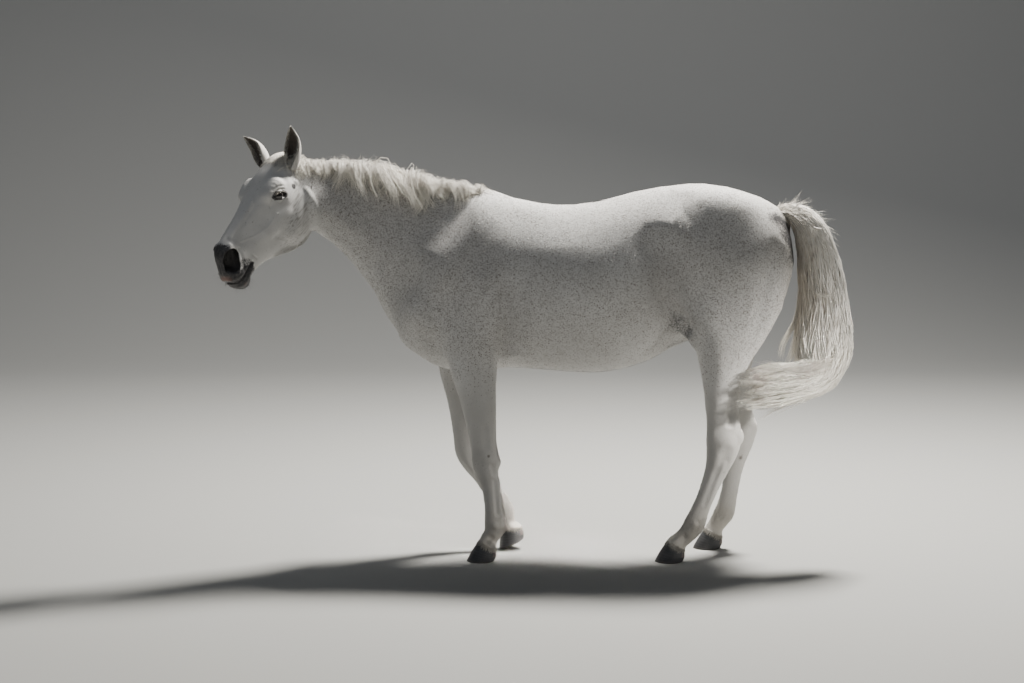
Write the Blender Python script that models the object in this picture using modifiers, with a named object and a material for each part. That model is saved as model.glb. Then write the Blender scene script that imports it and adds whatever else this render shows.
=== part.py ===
"""A grey riding mare at life size, standing with her left hind foot well forward, her right forefoot resting on its
toe and her head turned to the left. She faces -X, her left side is -Y, and +Z is up. Lengths are in metres.

The body is laid up from lofts and rounded masses, merged by a voxel remesh, modelled with soft brushes and then
parted by thin cuts into the pieces that a person would name. Eyes, hooves, mane, forelock and tail are made apart.
"""

import math

import bmesh
import bpy
import numpy as np
from mathutils import Matrix, Vector

GAP = 0.0003  # between pieces that touch
HAIR_GAP = 0.0009  # from the skin to the ears and the hair that lie on it
VOXEL = 0.008  # of the merged body
BODY_TRIANGLES = 4850
HEAD_FINENESS = 0.85  # how much finer than the trunk the thinned mesh stays there
LEG_FINENESS = 0.5
FINENESS_EFFECT = 0.05
RING_POINTS = 28  # round each cross section
STEPS = 5  # rings from one station to the next
SIDES = {"left": -1.0, "right": 1.0}
UP = Vector((0, 0, 1))

# The head's own frame: its origin is the poll, one axis runs down the face to the lips, one comes out of the
# forehead, and one points to the horse's left.
POLL = Vector((-1.015, -0.200, 1.695))
HEAD_TURN = math.radians(50)  # to the left of straight ahead
FACE_SLOPE = math.radians(43)  # of the face, away from vertical
HEAD_TILT = math.radians(3)  # of its left side, upwards
EYE_RADIUS = 0.0230
EYE_PLACE = (0.198, 0.0865, -0.052)  # down the face, sideways, out of the forehead

HOOF_LENGTH = 0.122
HOOF_WIDTH = {"fore": 0.122, "hind": 0.112}
HOOF_COLUMNS, HOOF_LEVELS = 20, 3
CORONET_BACK = 0.074  # its centre behind the toe
CORONET_HEIGHT = 0.062
CORONET_SLOPE = math.radians(29)
CORONET_LENGTH = 0.092
TOE_TILT = math.radians(24)  # of the resting forefoot
TOE_WORN = 0.0012  # how much of its toe the floor takes off flat

# Trunk: x, top, bottom, half widths near the top, at the middle and near the bottom.
TRUNK = [
    (-0.560, 1.080, 0.965, 0.060, 0.075, 0.055),
    (-0.535, 1.160, 0.905, 0.100, 0.135, 0.100),
    (-0.460, 1.300, 0.830, 0.120, 0.190, 0.145),
    (-0.340, 1.440, 0.780, 0.105, 0.215, 0.150),
    (-0.215, 1.545, 0.782, 0.085, 0.232, 0.165),
    (-0.060, 1.502, 0.790, 0.130, 0.255, 0.185),
    (0.120, 1.474, 0.777, 0.195, 0.285, 0.205),
    (0.285, 1.492, 0.772, 0.215, 0.298, 0.215),
    (0.450, 1.534, 0.806, 0.205, 0.285, 0.205),
    (0.600, 1.558, 0.880, 0.195, 0.262, 0.180),
    (0.720, 1.562, 0.920, 0.185, 0.262, 0.170),
    (0.850, 1.540, 0.940, 0.165, 0.252, 0.165),
    (0.960, 1.502, 0.980, 0.130, 0.215, 0.140),
    (1.045, 1.450, 1.060, 0.080, 0.140, 0.100),
    (1.080, 1.400, 1.160, 0.040, 0.070, 0.055),
]

# Neck: the top and bottom of each slanting section as (x, z), its shift to the left, and three half widths.
NECK = [
    ((-1.000, 1.640), (-0.955, 1.430), 0.205, (0.050, 0.070, 0.060)),
    ((-0.915, 1.646), (-0.885, 1.372), 0.168, (0.042, 0.076, 0.068)),
    ((-0.815, 1.646), (-0.800, 1.302), 0.116, (0.034, 0.078, 0.066)),
    ((-0.700, 1.630), (-0.723, 1.211), 0.070, (0.032, 0.086, 0.068)),
    ((-0.580, 1.603), (-0.657, 1.111), 0.034, (0.034, 0.102, 0.078)),
    ((-0.450, 1.574), (-0.608, 1.024), 0.012, (0.040, 0.130, 0.100)),
    ((-0.330, 1.558), (-0.560, 0.950), 0.000, (0.052, 0.165, 0.125)),
    ((-0.220, 1.535), (-0.500, 0.880), 0.000, (0.070, 0.205, 0.150)),
]

# Head: down the face, dorsal and ventral height over the face's axis, and three half widths.
HEAD = [
    (-0.030, -0.045, -0.140, (0.035, 0.050, 0.040)),
    (0.010, -0.006, -0.200, (0.052, 0.070, 0.055)),
    (0.070, 0.014, -0.270, (0.076, 0.088, 0.066)),
    (0.130, 0.020, -0.308, (0.098, 0.102, 0.070)),
    (0.195, 0.016, -0.324, (0.112, 0.105, 0.070)),
    (0.260, 0.008, -0.312, (0.086, 0.096, 0.062)),
    (0.320, 0.002, -0.276, (0.058, 0.081, 0.050)),
    (0.380, 0.000, -0.238, (0.046, 0.067, 0.043)),
    (0.440, -0.002, -0.212, (0.043, 0.058, 0.040)),
    (0.495, -0.003, -0.206, (0.048, 0.057, 0.040)),
    (0.534, -0.020, -0.209, (0.048, 0.060, 0.042)),
    (0.561, -0.060, -0.197, (0.031, 0.052, 0.037)),
    (0.582, -0.092, -0.168, (0.016, 0.030, 0.022)),
]

# Legs: x, height, half depth, half width and distance from the middle of each station down to the coronet.
FORE_STANDING = [
    (-0.262, 1.040, 0.130, 0.060, 0.140),
    (-0.252, 0.930, 0.128, 0.066, 0.146),
    (-0.243, 0.850, 0.113, 0.064, 0.146),
    (-0.232, 0.760, 0.092, 0.057, 0.142),
    (-0.2185, 0.660, 0.0765, 0.050, 0.138),
    (-0.207, 0.570, 0.0655, 0.044, 0.134),
    (-0.198, 0.490, 0.0580, 0.040, 0.131),
    (-0.190, 0.438, 0.0600, 0.0435, 0.130),
    (-0.187, 0.400, 0.0570, 0.0450, 0.130),
    (-0.181, 0.358, 0.0490, 0.0400, 0.130),
    (-0.170, 0.318, 0.0405, 0.0320, 0.130),
    (-0.161, 0.265, 0.0360, 0.0270, 0.130),
    (-0.155, 0.205, 0.0390, 0.0290, 0.130),
    (-0.151, 0.152, 0.0460, 0.0360, 0.130),
    (-0.160, 0.116, 0.0410, 0.0335, 0.130),
    (-0.178, 0.089, 0.0390, 0.0340, 0.130),
    (-0.196, 0.062, 0.0430, 0.0430, 0.130),
]
FORE_RESTING = [
    (-0.300, 1.040, 0.120, 0.060, 0.140),
    (-0.298, 0.930, 0.120, 0.066, 0.146),
    (-0.300, 0.850, 0.110, 0.064, 0.146),
    (-0.300, 0.760, 0.092, 0.057, 0.142),
    (-0.287, 0.660, 0.0765, 0.050, 0.138),
    (-0.281, 0.570, 0.0655, 0.044, 0.134),
    (-0.277, 0.490, 0.0580, 0.040, 0.131),
    (-0.269, 0.438, 0.0600, 0.0435, 0.130),
    (-0.256, 0.398, 0.0590, 0.0450, 0.130),
    (-0.236, 0.356, 0.0500, 0.0400, 0.130),
    (-0.210, 0.314, 0.0405, 0.0320, 0.130),
    (-0.178, 0.268, 0.0365, 0.0270, 0.130),
    (-0.145, 0.220, 0.0390, 0.0290, 0.130),
    (-0.117, 0.172, 0.0460, 0.0360, 0.130),
    (-0.106, 0.136, 0.0410, 0.0335, 0.130),
    (-0.098, 0.111, 0.0390, 0.0340, 0.130),
    (-0.0918, 0.0868, 0.0430, 0.0430, 0.130),
]
HIND_LEFT = [
    (0.830, 1.240, 0.210, 0.110, 0.120),
    (0.828, 1.130, 0.218, 0.106, 0.142),
    (0.812, 1.030, 0.196, 0.096, 0.156),
    (0.800, 0.940, 0.160, 0.084, 0.160),
    (0.788, 0.855, 0.119, 0.070, 0.158),
    (0.780, 0.770, 0.088, 0.058, 0.155),
    (0.780, 0.690, 0.074, 0.049, 0.152),
    (0.784, 0.610, 0.070, 0.042, 0.150),
    (0.789, 0.550, 0.073, 0.042, 0.150),
    (0.790, 0.503, 0.076, 0.046, 0.150),
    (0.782, 0.452, 0.067, 0.046, 0.149),
    (0.765, 0.392, 0.053, 0.038, 0.147),
    (0.742, 0.330, 0.0440, 0.0320, 0.145),
    (0.716, 0.262, 0.0400, 0.0290, 0.143),
    (0.693, 0.205, 0.0420, 0.0310, 0.141),
    (0.674, 0.156, 0.0470, 0.0370, 0.140),
    (0.650, 0.120, 0.0420, 0.0335, 0.140),
    (0.618, 0.089, 0.0390, 0.0340, 0.140),
    (0.584, 0.062, 0.0430, 0.0410, 0.140),
]
HIND_RIGHT = [
    (0.850, 1.240, 0.205, 0.110, 0.120),
    (0.850, 1.130, 0.212, 0.106, 0.142),
    (0.842, 1.030, 0.190, 0.096, 0.156),
    (0.845, 0.940, 0.150, 0.084, 0.160),
    (0.850, 0.855, 0.115, 0.070, 0.158),
    (0.856, 0.770, 0.088, 0.058, 0.155),
    (0.866, 0.690, 0.074, 0.049, 0.152),
    (0.876, 0.610, 0.070, 0.042, 0.150),
    (0.885, 0.550, 0.073, 0.042, 0.150),
    (0.889, 0.503, 0.076, 0.046, 0.150),
    (0.884, 0.452, 0.067, 0.046, 0.149),
    (0.873, 0.392, 0.053, 0.038, 0.147),
    (0.862, 0.330, 0.0440, 0.0320, 0.145),
    (0.853, 0.262, 0.0400, 0.0290, 0.143),
    (0.841, 0.205, 0.0420, 0.0310, 0.141),
    (0.829, 0.156, 0.0470, 0.0370, 0.140),
    (0.808, 0.120, 0.0420, 0.0335, 0.140),
    (0.788, 0.089, 0.0390, 0.0340, 0.140),
    (0.768, 0.062, 0.0430, 0.0410, 0.140),
]
LEGS = {
    "foreleg_left": ("fore", "left", FORE_STANDING, 0.0),
    "foreleg_right": ("fore", "right", FORE_RESTING, TOE_TILT),
    "hindleg_left": ("hind", "left", HIND_LEFT, 0.0),
    "hindleg_right": ("hind", "right", HIND_RIGHT, 0.0),
}

# Muscle masses on both sides: centre as (x, distance from the middle, z), radii along their own axes, and the tilt
# of the long axis forwards from vertical, in degrees.
MASSES = {
    "shoulder": ((-0.330, 0.120, 1.150), (0.130, 0.100, 0.240), 38),
    "breast": ((-0.440, 0.070, 0.935), (0.070, 0.070, 0.100), 25),
    "upper_arm": ((-0.250, 0.130, 1.030), (0.140, 0.085, 0.170), -20),
    "croup": ((0.740, 0.090, 1.350), (0.240, 0.140, 0.190), 0),
    "stifle": ((0.690, 0.165, 1.010), (0.080, 0.060, 0.120), -15),
    "thigh": ((0.800, 0.160, 1.150), (0.190, 0.095, 0.220), -10),
    "buttock": ((1.000, 0.090, 1.220), (0.080, 0.075, 0.150), -8),
    "ham": ((0.940, 0.140, 1.040), (0.075, 0.065, 0.170), -26),
}


def clear_scene():
    for old in list(bpy.data.objects):
        bpy.data.objects.remove(old, do_unlink=True)


def collection(name):
    made = bpy.data.collections.new(name)
    bpy.context.scene.collection.children.link(made)
    return made


def finish_material(name, colour, roughness):
    """A Principled material, with its colour in the viewport too."""
    material = bpy.data.materials.new(name)
    material.use_nodes = True
    shader = material.node_tree.nodes["Principled BSDF"]
    shader.inputs["Base Color"].default_value = (*colour, 1.0)
    shader.inputs["Roughness"].default_value = roughness
    material.diffuse_color = (*colour, 1.0)
    return material


def new_object(name, mesh, material=None, into=None):
    made = bpy.data.objects.new(name, mesh)
    if material:
        mesh.materials.append(material)
    (into or bpy.context.scene.collection).objects.link(made)
    return made


def head_axes():
    """Down the face, to the left, and out of the forehead."""
    ahead = Vector((-math.cos(HEAD_TURN), -math.sin(HEAD_TURN), 0))
    down_face = ahead * math.sin(FACE_SLOPE) - UP * math.cos(FACE_SLOPE)
    forehead = ahead * math.cos(FACE_SLOPE) + UP * math.sin(FACE_SLOPE)
    level = UP.cross(ahead)
    to_left = level * math.cos(HEAD_TILT) + forehead * math.sin(HEAD_TILT)
    return down_face, to_left, forehead * math.cos(HEAD_TILT) - level * math.sin(HEAD_TILT)


def on_head(down, left, out):
    """A point of the head's own frame, in the horse's frame."""
    down_face, to_left, forehead = head_axes()
    return POLL + down_face * down + to_left * left + forehead * out


# ---------------------------------------------------------------- lofts


def blend_stations(rows, steps):
    """Rows of numbers, with smooth rows put in between them on a Catmull-Rom curve."""
    rows = np.array(rows, float)
    ends = np.vstack([2 * rows[0] - rows[1], rows, 2 * rows[-1] - rows[-2]])
    made = []
    for i in range(len(rows) - 1):
        before, start, stop, after = ends[i : i + 4]
        for t in np.arange(steps) / steps:
            made.append(
                0.5 * (2 * start + (stop - before) * t
                       + (2 * before - 5 * start + 4 * stop - after) * t**2
                       + (3 * start - before - 3 * stop + after) * t**3)
            )
    made.append(rows[-1])
    return made


def ring(centre, up, side, half_height, widths, squareness=2.2, count=RING_POINTS):
    """One closed cross section, whose half width changes from its top through its middle to its bottom."""
    high, middle, low = widths
    points = []
    for k in range(count):
        angle = 2 * math.pi * k / count
        across, height = (
            math.copysign(abs(v) ** (2 / squareness), v) for v in (math.cos(angle), math.sin(angle))
        )
        width = middle + height * (high - low) / 2 + height**2 * ((high + low) / 2 - middle)
        points.append(centre + side * across * width + up * height * half_height)
    return points


def loft(name, rings):
    """A closed mesh through the rings, with a point at the middle of each end."""
    bm = bmesh.new()
    rows = [[bm.verts.new(p) for p in points] for points in rings]
    count = len(rows[0])
    for a, b in zip(rows, rows[1:]):
        for k in range(count):
            n = (k + 1) % count
            bm.faces.new((a[k], a[n], b[n], b[k]))
    for row in (rows[0], rows[-1]):
        middle = bm.verts.new(sum((v.co for v in row), Vector()) / count)
        for k in range(count):
            bm.faces.new((row[k], row[(k + 1) % count], middle))
    bmesh.ops.recalc_face_normals(bm, faces=bm.faces)
    if bm.calc_volume(signed=True) < 0:
        bmesh.ops.reverse_faces(bm, faces=bm.faces)
    mesh = bpy.data.meshes.new(name)
    bm.to_mesh(mesh)
    bm.free()
    mesh.shade_smooth()
    return mesh


def trunk_mesh():
    rings = []
    for x, top, bottom, high, middle, low in blend_stations(TRUNK, STEPS):
        centre = Vector((x, 0, (top + bottom) / 2))
        rings.append(ring(centre, UP, Vector((0, 1, 0)), (top - bottom) / 2, (high, middle, low), 2.3))
    return loft("trunk_clay", rings)


def neck_mesh():
    flat = [(*top, *bottom, shift, *widths) for top, bottom, shift, widths in NECK]
    stations = blend_stations(flat, STEPS)
    rings = []
    for i, (top_x, top_z, low_x, low_z, shift, *widths) in enumerate(stations):
        top, low = Vector((top_x, -shift, top_z)), Vector((low_x, -shift, low_z))
        before, after = stations[max(i - 1, 0)], stations[min(i + 1, len(stations) - 1)]
        along = Vector((after[0] + after[2] - before[0] - before[2], 2 * (before[4] - after[4]), 0)).normalized()
        rings.append(ring((top + low) / 2, (top - low).normalized(), UP.cross(along).normalized(),
                          (top - low).length / 2, widths, 2.1))
    return loft("neck_clay", rings)


def head_mesh():
    _, to_left, out = head_axes()
    flat = [(down, high, low, *widths) for down, high, low, widths in HEAD]
    rings = [
        ring(on_head(down, 0, (high + low) / 2), out, to_left, (high - low) / 2, widths, 2.5)
        for down, high, low, *widths in blend_stations(flat, STEPS)
    ]
    return loft("head_clay", rings)


def limb_mesh(name, stations, sign):
    """A leg: rings square to its own line, deep from front to back and narrow from side to side."""
    rows = blend_stations(stations, STEPS)
    centres = [Vector((x, sign * aside, z)) for x, z, _, _, aside in rows]
    rows.append(rows[-1])  # on into the hoof, to be cut off at the coronet
    centres.append(centres[-1] + (centres[-1] - centres[-2]).normalized() * 0.025)
    side = Vector((0, 1, 0))
    rings = []
    for i, (_, _, depth, width, _) in enumerate(rows):
        along = (centres[min(i + 1, len(rows) - 1)] - centres[max(i - 1, 0)]).normalized()
        forward = side.cross(along).normalized()
        rings.append(ring(centres[i], forward, along.cross(forward), depth, (width, width, width * 0.9), 2.1))
    return loft(name, rings)


def mass_mesh(name, centre, radii, tilt, sign):
    bm = bmesh.new()
    bmesh.ops.create_icosphere(bm, subdivisions=4, radius=1.0)
    place = Matrix.Translation((centre[0], sign * centre[1], centre[2]))
    turn = Matrix.Rotation(math.radians(-tilt), 4, "Y")
    bmesh.ops.transform(bm, matrix=place @ turn @ Matrix.Diagonal((*radii, 1.0)), verts=bm.verts)
    mesh = bpy.data.meshes.new(name)
    bm.to_mesh(mesh)
    bm.free()
    return mesh


# ---------------------------------------------------------------- modelling the merged body


def evaluated_copy(obj, name):
    """The object's mesh with its modifiers applied."""
    graph = bpy.context.evaluated_depsgraph_get()
    mesh = bpy.data.meshes.new_from_object(obj.evaluated_get(graph), depsgraph=graph)
    mesh.name = name
    return mesh


def coordinates(mesh, what="co"):
    values = np.zeros(len(mesh.vertices) * 3)
    source = mesh.vertices if what == "co" else mesh.vertex_normals
    source.foreach_get("co" if what == "co" else "vector", values)
    return values.reshape(-1, 3)


def merged_body(meshes):
    """One closed skin over all the clay, on a regular grid."""
    joined = bmesh.new()
    for mesh in meshes:
        joined.from_mesh(mesh)
    mesh = bpy.data.meshes.new("body_clay")
    joined.to_mesh(mesh)
    joined.free()
    body = new_object("body_clay", mesh)
    remesh = body.modifiers.new("Merge", "REMESH")
    remesh.mode = "VOXEL"
    remesh.voxel_size = VOXEL
    body.data = evaluated_copy(body, "body_merged")
    body.modifiers.clear()
    return body


def head_frame(points):
    """Points as distances down the face, sideways either way, and out of the forehead."""
    axes = np.array([list(axis) for axis in head_axes()])
    return (points - np.array(POLL)) @ axes.T


def neck_shift(points):
    """How far the neck's middle lies to the left at each point's x."""
    x = [(top[0] + low[0]) / 2 for top, low, _, _ in NECK]
    return np.interp(points[:, 0], x, [row[2] for row in NECK])


def body_frame(points):
    """Points with the neck's bend taken out, so that the horse's middle is y = 0."""
    straight = points.copy()
    straight[:, 1] += neck_shift(points)
    return straight


def share_in_head(points):
    """1 in the head, 0 well behind it."""
    local = head_frame(points)
    behind = local[:, 0] + 0.53 * local[:, 2]
    return np.clip((behind + 0.03) / 0.06, 0, 1) * (points[:, 0] < -0.75) * (points[:, 2] > 1.0)


def add_weights(body, name, weights):
    group = body.vertex_groups.new(name=name)
    for level in range(1, 11):
        members = np.flatnonzero(np.round(weights * 10).astype(int) == level)
        group.add(members.tolist(), level / 10, "REPLACE")
    return group


def soften(body, iterations, weights):
    """Smooths the mesh where the weights say, which blends the masses into each other."""
    body.vertex_groups.clear()
    add_weights(body, "soft", weights)
    smooth = body.modifiers.new("Soften", "SMOOTH")
    smooth.factor = 0.5
    smooth.iterations = iterations
    smooth.vertex_group = "soft"
    body.data = evaluated_copy(body, "body_soft")
    body.modifiers.clear()


def stroke(points, path, radius):
    """How much of a brush stroke along the path reaches each point: 1 on it, 0 a radius away."""
    path = np.array(path, float)
    nearest = np.full(len(points), np.inf)
    if len(path) == 1:
        nearest = np.linalg.norm(points - path[0], axis=1)
    for a, b in zip(path, path[1:]):
        t = np.clip((points - a) @ (b - a) / ((b - a) @ (b - a)), 0, 1)
        nearest = np.minimum(nearest, np.linalg.norm(points - a - t[:, None] * (b - a), axis=1))
    return np.clip(1 - (nearest / radius) ** 2, 0, 1) ** 2


# Soft brush strokes on both sides: a path, how wide it reaches and how high it swells, less than 0 for a hollow.
# Body strokes are (x, distance from the middle, z).
BODY_STROKES = {
    "shoulder_blade": ([(-0.215, 0.110, 1.460), (-0.330, 0.190, 1.250), (-0.430, 0.210, 1.090)], 0.110, 0.014),
    "shoulder_spine": ([(-0.215, 0.130, 1.430), (-0.400, 0.210, 1.130)], 0.045, 0.006),
    "point_of_shoulder": ([(-0.480, 0.175, 1.030)], 0.090, 0.014),
    "breast": ([(-0.600, 0.060, 1.040), (-0.545, 0.060, 0.900)], 0.100, 0.015),
    "upper_arm": ([(-0.460, 0.200, 1.020), (-0.250, 0.215, 0.940)], 0.075, 0.008),
    "triceps": ([(-0.210, 0.220, 1.170), (-0.190, 0.205, 0.980)], 0.085, 0.012),
    "elbow_crease": ([(-0.100, 0.240, 1.130), (-0.100, 0.215, 0.970), (-0.105, 0.180, 0.850)], 0.055, -0.014),
    "shoulder_groove": ([(-0.400, 0.150, 1.360), (-0.560, 0.160, 1.080)], 0.060, -0.012),
    "shoulder_dimple": ([(-0.400, 0.215, 0.975)], 0.045, -0.009),
    "forearm_front": ([(-0.430, 0.180, 0.940), (-0.370, 0.150, 0.820)], 0.050, -0.008),
    "breast_furrow": ([(-0.600, 0.0, 1.060), (-0.560, 0.0, 0.900), (-0.470, 0.0, 0.810)], 0.050, -0.014),
    "jugular_groove": ([(-0.840, 0.080, 1.400), (-0.720, 0.100, 1.290), (-0.590, 0.135, 1.110)], 0.045, -0.010),
    "neck_muscle": ([(-0.880, 0.080, 1.500), (-0.720, 0.100, 1.390), (-0.560, 0.150, 1.230)], 0.080, 0.007),
    "withers_hollow": ([(-0.480, 0.090, 1.520), (-0.330, 0.130, 1.450)], 0.075, -0.010),
    "back_hollow": ([(-0.060, 0.170, 1.440), (0.160, 0.220, 1.400)], 0.090, -0.005),
    "girth": ([(-0.010, 0.240, 1.150), (-0.010, 0.150, 0.830)], 0.090, -0.006),
    "barrel": ([(0.250, 0.300, 1.130)], 0.260, 0.010),
    "point_of_hip": ([(0.565, 0.235, 1.400)], 0.065, 0.016),
    "hip_joint": ([(0.830, 0.260, 1.220)], 0.110, 0.012),
    "croup": ([(0.700, 0.120, 1.520), (0.880, 0.130, 1.480)], 0.120, 0.008),
    "flank": ([(0.500, 0.270, 1.310), (0.555, 0.265, 1.170)], 0.120, -0.022),
    "groin_fold": ([(0.590, 0.265, 1.110), (0.620, 0.220, 0.960)], 0.055, -0.012),
    "stifle": ([(0.690, 0.235, 1.010)], 0.075, 0.010),
    "ham_groove": ([(0.990, 0.180, 1.300), (0.960, 0.215, 1.130), (0.900, 0.230, 0.980)], 0.050, -0.008),
    "thigh_groove": ([(0.830, 0.270, 1.120), (0.830, 0.230, 0.950)], 0.060, -0.006),
    "gaskin": ([(0.760, 0.240, 0.900), (0.770, 0.210, 0.800)], 0.060, 0.007),
    "dock_hollow": ([(1.070, 0.045, 1.390), (1.080, 0.020, 1.300)], 0.045, -0.010),
    "knee_bone": ([(-0.130, 0.130, 0.412)], 0.035, 0.006),
    "fetlock_tuft": ([(-0.105, 0.130, 0.140)], 0.030, 0.004),
}
# Head strokes are (down the face, distance from its middle, out of the forehead).
HEAD_STROKES = {
    "brow": ([(0.160, 0.086, -0.014), (0.196, 0.084, -0.011), (0.228, 0.078, -0.016)], 0.034, 0.028),
    "below_eye": ([(0.225, 0.104, -0.090)], 0.040, -0.004),
    "brow_hollow": ([(0.118, 0.072, -0.002)], 0.042, -0.010),
    "temple": ([(0.080, 0.084, -0.060)], 0.045, -0.005),
    "face_crest": ([(0.230, 0.106, -0.122), (0.350, 0.082, -0.122)], 0.034, 0.007),
    "cheek": ([(0.140, 0.080, -0.200), (0.200, 0.080, -0.215)], 0.110, 0.008),
    "cheek_front": ([(0.308, 0.060, -0.245), (0.318, 0.070, -0.175)], 0.050, -0.007),
    "jaw_channel": ([(0.130, 0.000, -0.305), (0.420, 0.000, -0.215)], 0.035, -0.012),
    "nose_side": ([(0.310, 0.075, -0.060), (0.430, 0.058, -0.065)], 0.050, -0.006),
    "nostril_rim": ([(0.490, 0.046, -0.030), (0.530, 0.058, -0.050), (0.556, 0.056, -0.090)], 0.034, 0.009),
    "nostril": ([(0.522, 0.062, -0.050), (0.548, 0.056, -0.088)], 0.020, -0.012),
    "mouth": ([(0.462, 0.058, -0.150), (0.545, 0.050, -0.152), (0.592, 0.0, -0.136)], 0.016, -0.005),
    "chin": ([(0.548, 0.000, -0.205)], 0.036, 0.006),
    "chin_groove": ([(0.478, 0.000, -0.207)], 0.036, -0.007),
}


def apply_strokes(body, strokes, frame, share):
    """Moves the skin out or in along its normals under each stroke, on both sides alike."""
    points = coordinates(body.data)
    normals = coordinates(body.data, "normal")
    places = frame(points)
    places[:, 1] = np.abs(places[:, 1])
    for path, radius, height in strokes.values():
        points += normals * (stroke(places, path, radius) * share * height)[:, None]
    body.data.vertices.foreach_set("co", points.ravel())
    body.data.update()


def modelled_body():
    meshes = [trunk_mesh(), neck_mesh(), head_mesh()]
    for name, (_, side, stations, _) in LEGS.items():
        meshes.append(limb_mesh(name, stations, SIDES[side]))
    for name, (centre, radii, tilt) in MASSES.items():
        for sign in SIDES.values():
            meshes.append(mass_mesh(name, centre, radii, tilt, sign))
    body = merged_body(meshes)
    points = coordinates(body.data)
    in_head = share_in_head(points)
    on_trunk = np.clip((points[:, 2] - 0.74) / 0.14, 0, 1) * (1 - in_head)
    soften(body, 60, np.clip(on_trunk + 0.06, 0, 1))
    apply_strokes(body, BODY_STROKES, body_frame, 1 - share_in_head(coordinates(body.data)))
    apply_strokes(body, HEAD_STROKES, head_frame, share_in_head(coordinates(body.data)))
    points = coordinates(body.data)
    soften(body, 10, np.where(share_in_head(points) > 0.5, 0.4, 0.7))
    return body


def thinned(body, triangles):
    """Fewer triangles, with the most kept on the head and the lower legs."""
    points = coordinates(body.data)
    fine = np.maximum(share_in_head(points) * HEAD_FINENESS, np.where(points[:, 2] < 0.62, LEG_FINENESS, 0.0))
    body.vertex_groups.clear()
    add_weights(body, "coarse", 1 - fine)
    total = sum(len(face.vertices) - 2 for face in body.data.polygons)
    decimate = body.modifiers.new("Thin", "DECIMATE")
    decimate.ratio = triangles / total
    decimate.vertex_group = "coarse"
    decimate.vertex_group_factor = FINENESS_EFFECT
    mesh = evaluated_copy(body, "body_thin")
    body.modifiers.clear()
    body.vertex_groups.clear()
    return mesh


# ---------------------------------------------------------------- cuts between the pieces

# Each region of the body is a big turned box, given by the middle of one face, the turn about Y in degrees that the
# face's outward normal makes from straight up, and its reach along x, sideways and away from the face.
REGIONS = {
    "foreleg": ((-0.300, 0.775), 0, (0.480, 1.000, 0.900)),
    "hindleg": ((0.800, 0.865), -18, (1.500, 1.000, 1.000)),
    "front": ((-0.400, 1.260), 113.5, (2.000, 2.000, 2.000)),
}
KNEE = 0.452
HOCK = 0.565


def finish(name, mesh, material, into):
    made = new_object(name, mesh, material, into)
    mesh.shade_smooth()
    mesh.set_sharp_from_angle(angle=math.radians(50))
    return made


def cutter(name, mesh, into):
    made = new_object(name, mesh, None, into)
    made.hide_render = True
    made.display_type = "WIRE"
    return made


def block_mesh(name, face_middle, turn, size, grow=0.0):
    """A box hanging under the middle of its own top face, turned about Y round that point."""
    bm = bmesh.new()
    bmesh.ops.create_cube(bm, size=1.0)
    shape = Matrix.Translation((0, 0, grow - size[2] / 2)) @ Matrix.Diagonal((*size, 1.0))
    place = Matrix.Translation(face_middle) @ Matrix.Rotation(math.radians(turn), 4, "Y")
    bmesh.ops.transform(bm, matrix=place @ shape, verts=bm.verts)
    mesh = bpy.data.meshes.new(name)
    bm.to_mesh(mesh)
    bm.free()
    return mesh


def grown_mesh(mesh, by):
    """A copy of the mesh with its skin moved out along its normals."""
    grown = mesh.copy()
    points = coordinates(mesh) + coordinates(mesh, "normal") * by
    grown.vertices.foreach_set("co", points.ravel())
    grown.update()
    return grown


def carved(name, mesh, keep=(), drop=(), tools=None):
    """What is left of a mesh inside every mesh to keep and outside every mesh to drop."""
    work = new_object(name, mesh.copy())
    for operation, others in (("INTERSECT", keep), ("DIFFERENCE", drop)):
        for number, other in enumerate(others):
            tool = cutter(f"{name}_{operation.lower()}_{number}", other.copy(), tools)
            cut = work.modifiers.new(operation, "BOOLEAN")
            cut.operation = operation
            cut.solver = "EXACT"
            cut.object = tool
    result = evaluated_copy(work, name)
    bpy.data.objects.remove(work, do_unlink=True)
    return largest_body(result)


def largest_body(mesh):
    """The mesh without the crumbs that a cut can leave."""
    bm = bmesh.new()
    bm.from_mesh(mesh)
    bmesh.ops.remove_doubles(bm, verts=bm.verts, dist=0.00002)
    islands, seen = [], set()
    for start in bm.verts:
        if start in seen:
            continue
        island, edge_of = {start}, [start]
        while edge_of:
            for edge in edge_of.pop().link_edges:
                for vert in edge.verts:
                    if vert not in island:
                        island.add(vert)
                        edge_of.append(vert)
        seen |= island
        islands.append(island)
    biggest = max(islands, key=len)
    bmesh.ops.delete(bm, geom=[v for v in bm.verts if v not in biggest], context="VERTS")
    bmesh.ops.triangulate(bm, faces=bm.faces)
    bm.to_mesh(mesh)
    bm.free()
    return mesh


def region_mesh(name, grow):
    (x, z), turn, size = REGIONS[name]
    return block_mesh(f"{name}_region", (x, 0, z), turn, size, grow)


def side_mesh(side, grow):
    """Everything on one side of the horse's middle, under the belly."""
    sign = SIDES[side]
    turned = block_mesh(f"{side}_region", (0, 0, 0), 0, (4.0, 4.0, 4.0))
    turned.transform(Matrix.Rotation(sign * math.pi / 2, 4, "X"))
    turned.transform(Matrix.Translation((0, sign * -grow, 0)))
    return turned


def level_mesh(height, grow):
    return block_mesh("level_region", (0, 0, height), 0, (4.0, 2.0, 3.0), grow)


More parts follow.
